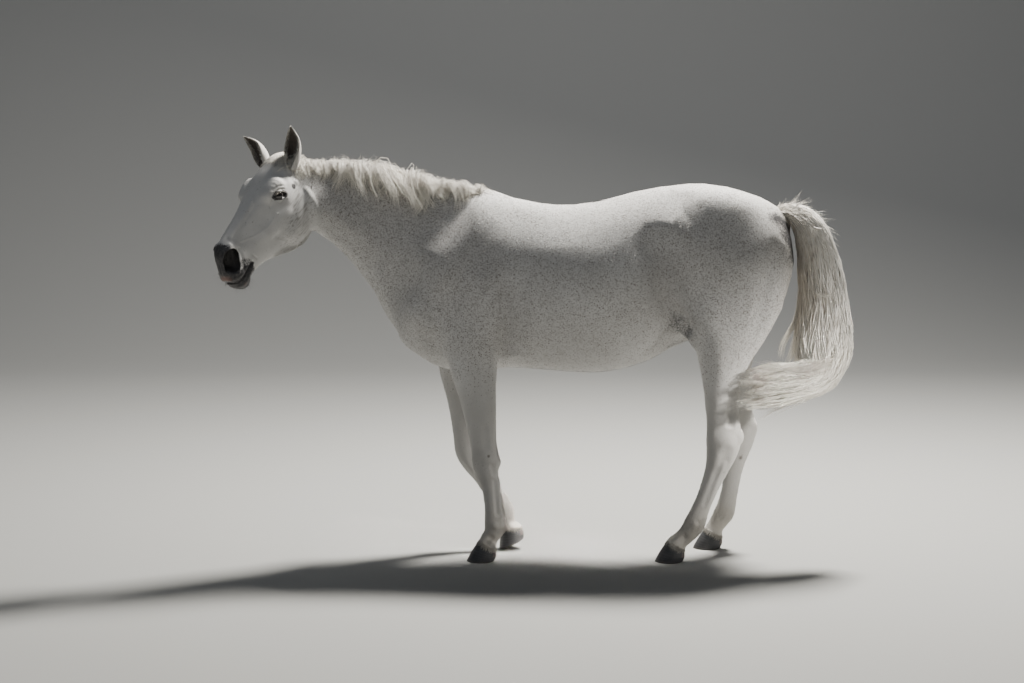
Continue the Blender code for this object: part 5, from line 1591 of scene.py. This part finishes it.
for side, sign in (("left", 1), ("right", -1)):
    bm = bmesh.new()
    bmesh.ops.create_uvsphere(bm, u_segments=64, v_segments=40, radius=1.0)
    unit_ball = np.array([vertex.co[:] for vertex in bm.verts])
    faces = [[vertex.index for vertex in face.verts] for face in bm.faces]
    bm.free()
    local = unit_ball * EYE_RADIUS
    cornea = 0.0022 * np.clip(1 - (np.hypot(local[:, 0] * 0.85, local[:, 1]) / 0.015) ** 2, 0, 1) * (local[:, 2] > 0)
    places = eye_point(sign, local[:, 0] + 0.002, local[:, 1] - 0.0005, local[:, 2] - 0.001 + cornea)
    ball = new_piece(f"eyeball_{side}", places, faces)
    turned_outwards(ball)
    add_vectors(ball, "eye", local)
    finish(ball, wet_eye.material, "dark_eye", f"eye_{side}")

    angles = 2 * math.pi * np.arange(LID_POINTS) / LID_POINTS
    long_way = EYE_LONG * 0.97 * np.cos(angles)
    reach = np.where(np.sin(angles) > 0, EYE_HIGH, EYE_LOW) * np.clip(1 - np.cos(angles) ** 2, 0.0, 1) ** 0.8
    high_way = reach * np.sign(np.sin(angles))
    apart = np.hypot(long_way, high_way)
    outwards = np.sqrt(np.clip((EYE_RADIUS + 0.0006) ** 2 - apart**2, (0.0075) ** 2, None))
    line = eye_point(sign, long_way, high_way, outwards)
    middle = eye_point(sign, np.zeros(1), np.zeros(1), np.zeros(1))
    radii = np.full(LID_POINTS, 0.0019) + 0.0008 * np.clip(np.sin(angles), 0, 1)
    lids = tube(f"lid_edges_{side}", line, radii, unit(line - middle))
    turned_outwards(lids)
    finish(lids, lid_skin.material, "dark_eye")

    spot = rng.uniform(0.12, 0.86, LASHES) * math.pi
    long_way = EYE_LONG * np.cos(spot)
    high_way = EYE_HIGH * np.sin(spot) ** 1.6 + 0.001
    outwards = np.sqrt(np.clip((EYE_RADIUS + 0.002) ** 2 - long_way**2 - high_way**2, 0.007**2, None))
    roots = eye_point(sign, long_way, high_way, outwards)
    tip_long, tip_high = long_way * 1.1 + rng.normal(0, 0.002, LASHES), high_way + rng.uniform(-0.001, 0.004, LASHES)
    tips = eye_point(sign, tip_long, tip_high, outwards + 0.012)
    droop = eye_point(sign, long_way * 1.15, high_way - 0.012, outwards + 0.016)
    lash = lock_paths(roots, unit(tips - roots), unit(droop - roots), rng.uniform(0.008, 0.015, LASHES), 5)
    lashes = strands(f"lashes_{side}", lash, tapered(lash, 0.00045, 0.3), unit(roots - middle), roots,
                     rng.uniform(0, 1, LASHES))
    finish(lashes, grey_hair, "dark_eye")

# -------- ears
# Each is a cupped leaf of thin gristle in short white hair, dark and shaggy inside, with a pale hairy rim. Its root is
# a tube that goes down into the poll.
EAR_LENGTH, EAR_WIDTH, EAR_ROOT_DEPTH, EAR_WALL = 0.142, 0.066, 0.03, 0.0036
EAR_ROWS, EAR_COLUMNS = 36, 24
EAR_FRINGE, EAR_FILL = 620, 420  # hairs
# Root (down the face, sideways, out), the tip's place from the root, and the way the opening faces, as (x, y, z).
EARS = {
    "left": ((0.038, 0.07, -0.03), Vector((-0.002, -0.012, 0.14)), Vector((-0.35, -0.92, 0.1))),
    "right": ((0.05, -0.082, -0.018), Vector((-0.088, 0.04, 0.112)), Vector((-0.6, -0.75, -0.25))),
}
ear_paint = Paint("ear_hair_and_skin", 0.66)
inner_ear_hair = hair_paint("inner_ear_hair", (0.23, 0.2, 0.172), (0.085, 0.07, 0.058))
inside, rim = ear_paint.stored("ear", 0), ear_paint.stored("ear", 1)
ear_streak = ear_paint.noise(ear_paint.stretched(ear_paint.place(), (420.0, 420.0, 50.0)), 1.0, 3.0)
outer_ear = ear_paint.blend(ear_streak, (0.46, 0.44, 0.41), (0.66, 0.64, 0.6))
inner_ear = ear_paint.blend(ear_streak, (0.095, 0.08, 0.068), (0.3, 0.262, 0.225))
ear_colour = ear_paint.blend((inside * 1.6 - 0.3).clamped(), outer_ear, inner_ear)
ear_paint.set("Base Color", ear_paint.blend((rim * 1.3 - 0.2).clamped() * 0.8, ear_colour, (0.6, 0.57, 0.52)))
ear_paint.set("Normal", ear_paint.bump(ear_streak, 0.0012, 0.8))

for side, (root, tip, face_way) in EARS.items():
    along = tip.normalized()
    front = (face_way - along * face_way.dot(along)).normalized()
    across = along.cross(front)
    base = on_head(*root) - along * EAR_ROOT_DEPTH
    grid, normals = [], []
    for i in range(EAR_ROWS + 1):
        t = i / EAR_ROWS
        half = EAR_WIDTH / 2 * (0.62 + 1.55 * t - 0.62 * t**2 - 1.5 * t**3) + 0.0022 * t
        half *= 1.0 - 0.1 * math.exp(-((t - 0.9) / 0.07) ** 2)
        opening = math.radians(172 - 92 * min(1, 1.5 * t))
        lean = 0.01 * math.sin(math.pi * t)
        for j in range(EAR_COLUMNS + 1):
            angle = opening * (2 * j / EAR_COLUMNS - 1)
            curl = 1.0 + 0.05 * math.cos(2 * angle)
            out_way = -front * math.cos(angle) * 0.85 + across * math.sin(angle)
            grid.append(base + along * t * (EAR_LENGTH + EAR_ROOT_DEPTH) - front * lean + out_way * half * curl)
            normals.append(out_way.normalized())
    grid, normals = np.array(grid), np.array(normals)
    columns = EAR_COLUMNS + 1
    t = np.repeat(np.arange(EAR_ROWS + 1) / EAR_ROWS, columns)
    edge = np.abs(np.tile(np.arange(columns) / EAR_COLUMNS * 2 - 1, EAR_ROWS + 1))
    wall = EAR_WALL * (0.35 + 0.65 * (1 - np.maximum(edge, t) ** 4))
    outer, inner = grid + normals * wall[:, None] / 2, grid - normals * wall[:, None] / 2
    size = len(grid)
    faces = []
    for i in range(EAR_ROWS):
        for j in range(EAR_COLUMNS):
            a, b, c, d = i * columns + j, i * columns + j + 1, (i + 1) * columns + j + 1, (i + 1) * columns + j
            faces += [(a, b, c, d), (size + d, size + c, size + b, size + a)]
    for i in range(EAR_ROWS):
        for j in (0, EAR_COLUMNS):
            a, d = i * columns + j, (i + 1) * columns + j
            faces.append((a, d, size + d, size + a))
    for j in range(EAR_COLUMNS):
        for i in (0, EAR_ROWS):
            a, b = i * columns + j, i * columns + j + 1
            faces.append((a, b, size + b, size + a))
    ear = new_piece(f"ear_shell_{side}", np.concatenate([outer, inner]), faces)
    turned_outwards(ear)
    within = np.concatenate([np.zeros(size), np.ones(size)])
    add_vectors(ear, "ear", np.stack([within, np.tile(ease(edge, 0.8, 1.0), 2), np.tile(t, 2)], axis=1))
    finish(ear, ear_paint.material, "grey_ear", f"ear_{side}")

    away, upright = np.array(front), np.array(along)
    pick = rng.integers(0, size, EAR_FRINGE * 6)
    pick = pick[(t[pick] > 0.22) & (t[pick] < 0.98) & (edge[pick] > 0.55)][:EAR_FRINGE]
    number = len(pick)
    roots = inner[pick]
    lengthwise = rng.uniform(0.5, 1.0, number)[:, None]
    first = unit(upright * lengthwise * 0.9 - normals[pick] * 0.55 + away * 0.25 + rng.normal(0, 0.15, (number, 3)))
    second = unit(upright * lengthwise - normals[pick] * 0.75 + away * 0.15 + rng.normal(0, 0.12, (number, 3)))
    paths = lock_paths(roots, first, second, rng.uniform(0.01, 0.026, number) * (1 - 0.5 * t[pick]), 5)
    shaggy = strands(f"ear_fringe_{side}", paths, tapered(paths, 0.001, 0.25), normals[pick], roots,
                     np.clip(rng.normal(0.25, 0.25, number), 0, 1))
    finish(shaggy, cream_hair, "grey_ear")

    pick = rng.integers(0, size, EAR_FILL * 4)
    pick = pick[(t[pick] > 0.12) & (t[pick] < 0.85) & (edge[pick] < 0.75)][:EAR_FILL]
    number = len(pick)
    roots = inner[pick]
    first = unit(upright * 0.9 - normals[pick] * 0.45 + away * 0.35 + rng.normal(0, 0.2, (number, 3)))
    paths = lock_paths(roots, first, first, rng.uniform(0.012, 0.024, number), 5)
    dark = strands(f"ear_inner_hair_{side}", paths, tapered(paths, 0.0011, 0.25), normals[pick], roots,
                   rng.uniform(0, 1, number))
    finish(dark, inner_ear_hair, "grey_ear")

# -------- hooves
# Slate-grey horn with faint level growth rings and fine upright grain, worn at its lower edge, with the heels'
# rounded bulbs behind. The right fore stands on its toe.
HOOF_COLUMNS, HOOF_LEVELS = 64, 30
horn = Paint("slate_horn", 0.42, specular_ior_level=0.45)
rise, round_wall, ground_dirt = (horn.stored("horn", part) for part in range(3))
rings_of_growth = horn.noise(horn.node("ShaderNodeCombineXYZ", None, [0.0, 0.0, rise * 17.0]), 1.0, 2.0)
grain = horn.noise(horn.node("ShaderNodeCombineXYZ", None, [round_wall * 90.0, 0.0, rise * 1.2]), 1.0, 3.0)
blotch = horn.noise(horn.place(), 38.0, 3.0)
horn_colour = horn.blend(grain, (0.03, 0.032, 0.038), (0.085, 0.084, 0.086))
horn_colour = horn.blend((rings_of_growth * 1.8 - 0.5).clamped() * 0.45, horn_colour, (0.11, 0.106, 0.102))
horn_colour = horn.blend((blotch * 2.2 - 0.9).clamped() * 0.35, horn_colour, (0.022, 0.023, 0.027))
horn_colour = horn.blend(ground_dirt * (blotch * 0.8 + 0.2), horn_colour, (0.17, 0.152, 0.128))
horn.set("Base Color", horn_colour)
horn.set("Roughness", 0.38 + blotch * 0.22)
horn.set("Normal", horn.bump(rings_of_growth + grain * 0.35, 0.001, 0.6))

bulb_skin = Paint("heel_bulb_skin", 0.6)
bulb_mottle = bulb_skin.noise(bulb_skin.place(), 60.0, 3.0)
bulb_skin.set("Base Color", bulb_skin.blend(bulb_mottle, (0.07, 0.062, 0.06), (0.19, 0.155, 0.14)))


def hoof_rings(angle, half_width):
    """Places on the hoof's ground edge and on its crown, and the ways out from its middle."""
    toe, aside, level = np.cos(angle), np.sin(angle), np.zeros(len(angle))
    heel = np.where(toe < 0, 0.86, 1.0)
    ground = np.stack([HOOF_LENGTH / 2 * (1 - toe * heel), aside * half_width, level], axis=1)
    along = -toe * CORONET_LENGTH / 2
    crown = np.stack([CORONET_BACK + along * math.cos(CORONET_SLOPE), aside * half_width * CORONET_WIDTH,
                      CORONET_HEIGHT - along * math.sin(CORONET_SLOPE)], axis=1)
    return ground, crown, np.stack([-toe, aside, level], axis=1)


for foot, (turn, offset, kind, resting) in feet.items():
    t = np.repeat(np.arange(HOOF_LEVELS + 1) / HOOF_LEVELS, HOOF_COLUMNS)
    angle = np.tile(2 * math.pi * np.arange(HOOF_COLUMNS) / HOOF_COLUMNS, HOOF_LEVELS + 1)
    ground, crown, outwards = hoof_rings(angle, HOOF_WIDTH[kind] / 2)
    wall = ground * (1 - t)[:, None] + crown * t[:, None]
    ripple = 0.00035 * np.sin(t * 47 + 0.7 * np.sin(angle * 2)) + 0.0004 * np.sin(angle * 9 + 2) * (1 - t)
    cleft = -0.006 * np.exp(-((angle - math.pi) / 0.16) ** 2) * ease(t, 0.0, 0.5)
    bulbs = 0.0045 * np.exp(-((np.abs(angle - math.pi) - 0.42) / 0.3) ** 2) * np.sin(math.pi * np.clip(t, 0, 1)) ** 0.7
    worn = -0.0016 * (1 - ease(t, 0.0, 0.06))
    wall += outwards * (0.003 * np.sin(math.pi * t) + ripple + cleft + bulbs + worn)[:, None]
    sole = np.array([[HOOF_LENGTH * 0.46, 0.0, 0.0]])
    top = np.array([[CORONET_BACK, 0.0, CORONET_HEIGHT - 0.004]])
    points = np.concatenate([wall, sole, top])
    faces = ring_faces(HOOF_LEVELS + 1, HOOF_COLUMNS)
    last = HOOF_LEVELS * HOOF_COLUMNS
    for k in range(HOOF_COLUMNS):
        n = (k + 1) % HOOF_COLUMNS
        faces += [(k, len(points) - 2, n), (last + k, last + n, len(points) - 1)]
    stood = points @ turn.T + offset
    if resting:
        stood[:, 2] = np.maximum(stood[:, 2], 0.0)
    hoof = new_piece(f"horn_{foot}", stood, faces)
    turned_outwards(hoof)
    shares = np.append(t, [0.0, 1.0])
    rounds = np.append(np.abs(angle - math.pi), [0.0, 0.0])
    dirt = np.append(1 - ease(t, 0.0, 0.18), [1.0, 0.0])
    add_vectors(hoof, "horn", np.stack([shares, rounds, dirt * 0.7], axis=1))
    finish(hoof, horn.material, "slate_horn", f"hoof_{foot}")
    hoof.data.materials.append(bulb_skin.material)
    for polygon in hoof.data.polygons:
        corner = polygon.vertices[0]
        if len(polygon.vertices) == 4 and abs(angle[corner] - math.pi) < 0.75 and t[corner] > 0.45:
            polygon.material_index = 1

# -------- short coat
# The summer coat is short and sleek. Fine tufts lie along the body over every side of it, shortest on the face and
# feet, and a little longer hair fringes the coronets, fetlocks, cannon bones, jaw, throat, poll and belly.
coat_on_tufts = coat_paint("white_coat_in_tufts", True)
triangle_corners = skin_points[skin_triangles]
triangle_areas = np.linalg.norm(np.cross(triangle_corners[:, 1] - triangle_corners[:, 0],
                                         triangle_corners[:, 2] - triangle_corners[:, 0]), axis=1) / 2
triangle_middles = triangle_corners.mean(axis=1)


def grown_on_skin(count, liking):
    """Random places on the skin, thicker where the liking is greater, with the skin's normals there."""
    weights = triangle_areas * liking
    chosen = rng.choice(len(triangle_areas), count, p=weights / weights.sum())
    u, v = rng.uniform(0, 1, (2, count))
    u, v = np.where(u + v > 1, 1 - u, u)[:, None], np.where(u + v > 1, 1 - v, v)[:, None]
    a, b, c = (triangle_corners[chosen, k] for k in range(3))
    corner_normals = skin_normals[skin_triangles[chosen]]
    normals = unit(corner_normals[:, 0] * (1 - u - v) + corner_normals[:, 1] * u + corner_normals[:, 2] * v)
    return a + (b - a) * u + (c - a) * v, normals


def lie_of_coat(points, normals):
    """The way the hair lies: back and down over neck and body, down the legs and face, and back off the cheeks."""
    way = np.tile([1.0, 0.0, -0.45], (len(points), 1))
    low = ease(0.95 - points[:, 2], 0.0, 0.22)[:, None]
    way = way * (1 - low) + np.array([0.12, 0.0, -1.0]) * low
    rump = (ease(points[:, 0], 0.72, 1.0) * (points[:, 2] > 0.9))[:, None]
    way = way * (1 - rump) + np.array([0.35, 0.0, -1.0]) * rump
    neck = ease(-points[:, 0], 0.45, 0.75)[:, None]
    way = way * (1 - neck) + np.array([0.75, 0.0, -0.65]) * neck
    local = head_frame(points)
    in_head = share_in_head(points)[:, None]
    cheek = ease(np.abs(local[:, 1]), 0.04, 0.08) * ease(-local[:, 2], 0.06, 0.16) * (1 - ease(local[:, 0], 0.26, 0.4))
    cheek = cheek[:, None]
    down_face, _, forehead = HEAD_AXES
    face_way = down_face * (1 - cheek) + (-down_face * 0.35 - forehead * 0.9) * cheek
    way = way * (1 - in_head) + face_way * in_head
    x, _, z = points.T
    way = way + 0.22 * np.stack([np.sin(z * 9 + x * 4), np.sin(x * 7), np.cos(x * 11 + z * 6)], axis=1)
    return unit(way - normals * np.einsum("ij,ij->i", way, normals)[:, None])


def tufts(name, count, liking, length, width, lift, segments=3):
    """A piece of coat: hairs on the skin, lifted a little from it, with the skin's own markings."""
    roots, normals = grown_on_skin(count, liking)
    way = lie_of_coat(roots, normals)
    way = unit(way + np.cross(normals, way) * rng.normal(0, 0.16, count)[:, None])
    scale = length(roots) if callable(length) else np.full(count, length)
    scale = scale * rng.uniform(0.7, 1.25, count)
    first = unit(way + normals * lift)
    second = unit(way + normals * lift * 0.1)
    paths = lock_paths(roots - normals * 0.0004, first, second, scale, segments)
    ratio = np.linspace(1.0, 0.45, segments - 1)[None, :]
    wide = width(roots) if callable(width) else np.full(count, width)
    widths = ratio * (wide * rng.uniform(0.6, 1.2, count))[:, None]
    piece = strands(name, paths, widths, normals, roots, rng.uniform(0, 1, count), 0.35, marked=True)
    finish(piece, coat_on_tufts, "white_coat")


head_here = share_in_head(triangle_middles) > 0.5
local_here = head_frame(triangle_middles)
eyeless = np.ones(len(triangle_middles))
for sign in (-1, 1):
    long_way, high_way, _ = eye_plane(local_here, sign)
    mirrored = local_here * (1, sign, 1)
    in_eye = (mirrored[:, 1] > 0.03) & (opening_share(long_way, high_way) < 1.15)
    eyeless *= np.where(head_here & in_eye, 0.0, 1.0)
    in_nostril = (stroke(mirrored * FLAT, NOSTRIL * FLAT, 0.032) > 0.05) & (mirrored[:, 1] > 0)
    eyeless *= np.where(head_here & in_nostril, 0.0, 1.0)
above_hooves = np.ones(len(triangle_middles))
for turn, offset, _, _ in feet.values():
    back, aside, over = ((triangle_middles - offset) @ turn - (CORONET_BACK, 0, CORONET_HEIGHT)).T
    under = over * math.cos(CORONET_SLOPE) + back * math.sin(CORONET_SLOPE) < 0.002
    above_hooves *= np.where((np.hypot(back, aside) < 0.1) & (over < 0.12 - CORONET_HEIGHT) & under, 0.0, 1.0)
anywhere = eyeless * above_hooves
above_legs = triangle_middles[:, 2] > LEG_TOP
behind_shoulder = triangle_middles[:, 0] >= 0.1
places = body_frame(triangle_middles)
for name, part in (("neck_and_shoulder", ~behind_shoulder), ("barrel_and_rump", behind_shoulder)):
    for side, sign in SIDES.items():
        liking = anywhere * ~head_here * above_legs * part * (places[:, 1] * sign > 0)
        tufts(f"coat_{name}_{side}", 12000, liking, 0.0105, 0.00075, 0.16)
tufts("coat_legs", 11500, anywhere * ~above_legs, 0.008, 0.0006, 0.14)


def down_the_face(*values):
    """Something that changes from the poll to the lips."""
    return lambda points: np.interp(head_frame(points)[:, 0], [0.0, 0.12, 0.4, 0.55], values)


tufts("coat_head", 13000, anywhere * head_here, down_the_face(0.0095, 0.0065, 0.0048, 0.0028),
      down_the_face(0.0006, 0.00045, 0.00038, 0.0003), 0.14)

# Longer hair where the coat breaks the form.
FRINGES = brush_strokes("""
fetlock 50 1000 | -90 130 175  -105 130 130
hind_fetlock 50 1000 | 655 140 180  640 140 130
right_fetlocks 60 1000 | 50 130 150  820 140 150
belly 60 1000 | 0 20 820  300 20 800  500 20 850
cannon_backs 30 1000 | -110 130 330  -105 130 200
""")
HEAD_FRINGES = brush_strokes("""
jaw 35 1000 | 120 50 -290  230 50 -310  340 30 -245
chin 40 1000 | 480 0 -210  545 0 -200
throat 50 1000 | 60 60 -240  20 80 -160
brow 16 1000 | 165 92 -22  215 92 -18
ear_roots 45 1000 | 40 74 -30
poll 50 1000 | -10 0 -10  60 40 0
""")
WHISKER_PLACES = brush_strokes("""
muzzle 50 1000 | 560 30 -120  545 20 -200
cheek 20 500 | 220 95 -100
""")
WHISKERS = 110


def reached(points, strokes):
    """How far the strokes reach each point, where their heights are shares of that."""
    return np.max([stroke(points, path, radius) * share for path, radius, share in strokes.values()], axis=0)


sides = folded(local_here)
body_fringe = reached(folded(places), FRINGES) * above_hooves * ~head_here
head_fringe = reached(sides, HEAD_FRINGES) * head_here * eyeless
tufts("coat_fringes", 5000, body_fringe, 0.016, 0.0007, 0.26, 4)
tufts("coat_head_fringes", 5000, head_fringe, 0.012, 0.0005, 0.28, 4)
roots, normals = grown_on_skin(WHISKERS, reached(sides, WHISKER_PLACES) * head_here * eyeless)
down_face = HEAD_AXES[0]
first = unit(normals + down_face * 0.3 + rng.normal(0, 0.15, (WHISKERS, 3)))
second = unit(first + np.array([0.0, 0.0, -0.35]) + down_face * 0.2)
paths = lock_paths(roots - normals * 0.001, first, second, rng.uniform(0.012, 0.034, WHISKERS), 6)
whiskers = strands("muzzle_whiskers", paths, tapered(paths, 0.0004, 0.3), np.cross(first, second) + 0.01, roots,
                   rng.uniform(0, 1, WHISKERS))
finish(whiskers, dark_hair, "white_coat")

# Hair over the coronets.
CUFF_HAIRS = 600
for foot, (turn, offset, kind, _) in feet.items():
    ground, crown, outwards = hoof_rings(rng.uniform(0, 2 * math.pi, CUFF_HAIRS), HOOF_WIDTH[kind] / 2)
    down_wall = unit(ground - crown)
    higher = rng.uniform(-0.004, 0.012, CUFF_HAIRS)[:, None]
    roots = crown - down_wall * higher + outwards * 0.0005
    first = unit(down_wall + outwards * 0.22 + rng.normal(0, 0.08, (CUFF_HAIRS, 3)))
    second = unit(down_wall + outwards * 0.05 + rng.normal(0, 0.08, (CUFF_HAIRS, 3)))
    paths = lock_paths(roots, first, second, rng.uniform(0.01, 0.02, CUFF_HAIRS), 5) @ turn.T + offset
    paths[:, :, 2] = np.maximum(paths[:, :, 2], 0.001)
    cuff = strands(f"coronet_hair_{foot}", paths, tapered(paths, 0.001, 0.3, (0.6, 1.2)), outwards @ turn.T,
                   paths[:, 0], rng.uniform(0, 1, CUFF_HAIRS), marked=True)
    finish(cuff, coat_on_tufts, "white_coat")

# -------- floor and light
# A plain pale floor that curves up into a backdrop, a high key light from behind on the right, a narrow light on the
# tail's loose ends and soft fills.
BACKDROP = [(-40.0, 0.0), (7.0, 0.0)]
BACKDROP += [(7.0 + 6.0 * math.sin(math.radians(a)), 6.0 - 6.0 * math.cos(math.radians(a))) for a in range(6, 91, 6)]
BACKDROP += [(13.0, 16.0)]
floor_mesh = bpy.data.meshes.new("floor")
floor_points = [(x, y, z) for y, z in BACKDROP for x in (-40.0, 40.0)]
floor_mesh.from_pydata(floor_points, [], [(2 * i, 2 * i + 1, 2 * i + 3, 2 * i + 2) for i in range(len(BACKDROP) - 1)])
floor_mesh.shade_smooth()
floor = in_scene("floor", floor_mesh)
pale = Paint("pale_floor", 0.9)
pale.set("Base Color", (0.32, 0.32, 0.31, 1.0))
floor.data.materials.append(pale.material)

# Place, size, power and colour.
LIGHTS = {
    "key": ((1.7, 2.0, 5.6), 1.0, 1450, (1.0, 0.965, 0.9)),
    "backdrop": ((0.0, 4.0, 9.0), 9.0, 420, (1.0, 1.0, 1.0)),
    "hair": ((4.2, -1.6, 2.6), 0.4, 2.6, (1.0, 0.965, 0.9)),
    "fill": ((-4.5, -5.0, 6.0), 2.5, 46, (0.9, 0.95, 1.0)),
}
AIMS = {"backdrop": (0.0, 14.0, 2.0), "hair": (1.1, -0.18, 0.8)}
for name, (where, size, power, tint) in LIGHTS.items():
    lamp = bpy.data.lights.new(name, "AREA")
    lamp.size, lamp.energy, lamp.color = size, power, tint
    if name == "hair":
        lamp.spread = math.radians(11)
    stand = in_scene(name, lamp)
    stand.location = where
    aim = Vector(AIMS.get(name, (0.0, 0.0, 0.9))) - Vector(where)
    stand.rotation_euler = aim.to_track_quat("-Z", "Y").to_euler()
world = bpy.data.worlds.new("soft_sky")
bpy.context.scene.world = world
world.use_nodes = True
world.node_tree.nodes["Background"].inputs[0].default_value = (0.8, 0.88, 1.0, 1.0)
world.node_tree.nodes["Background"].inputs[1].default_value = 0.085

bpy.context.view_layer.update()
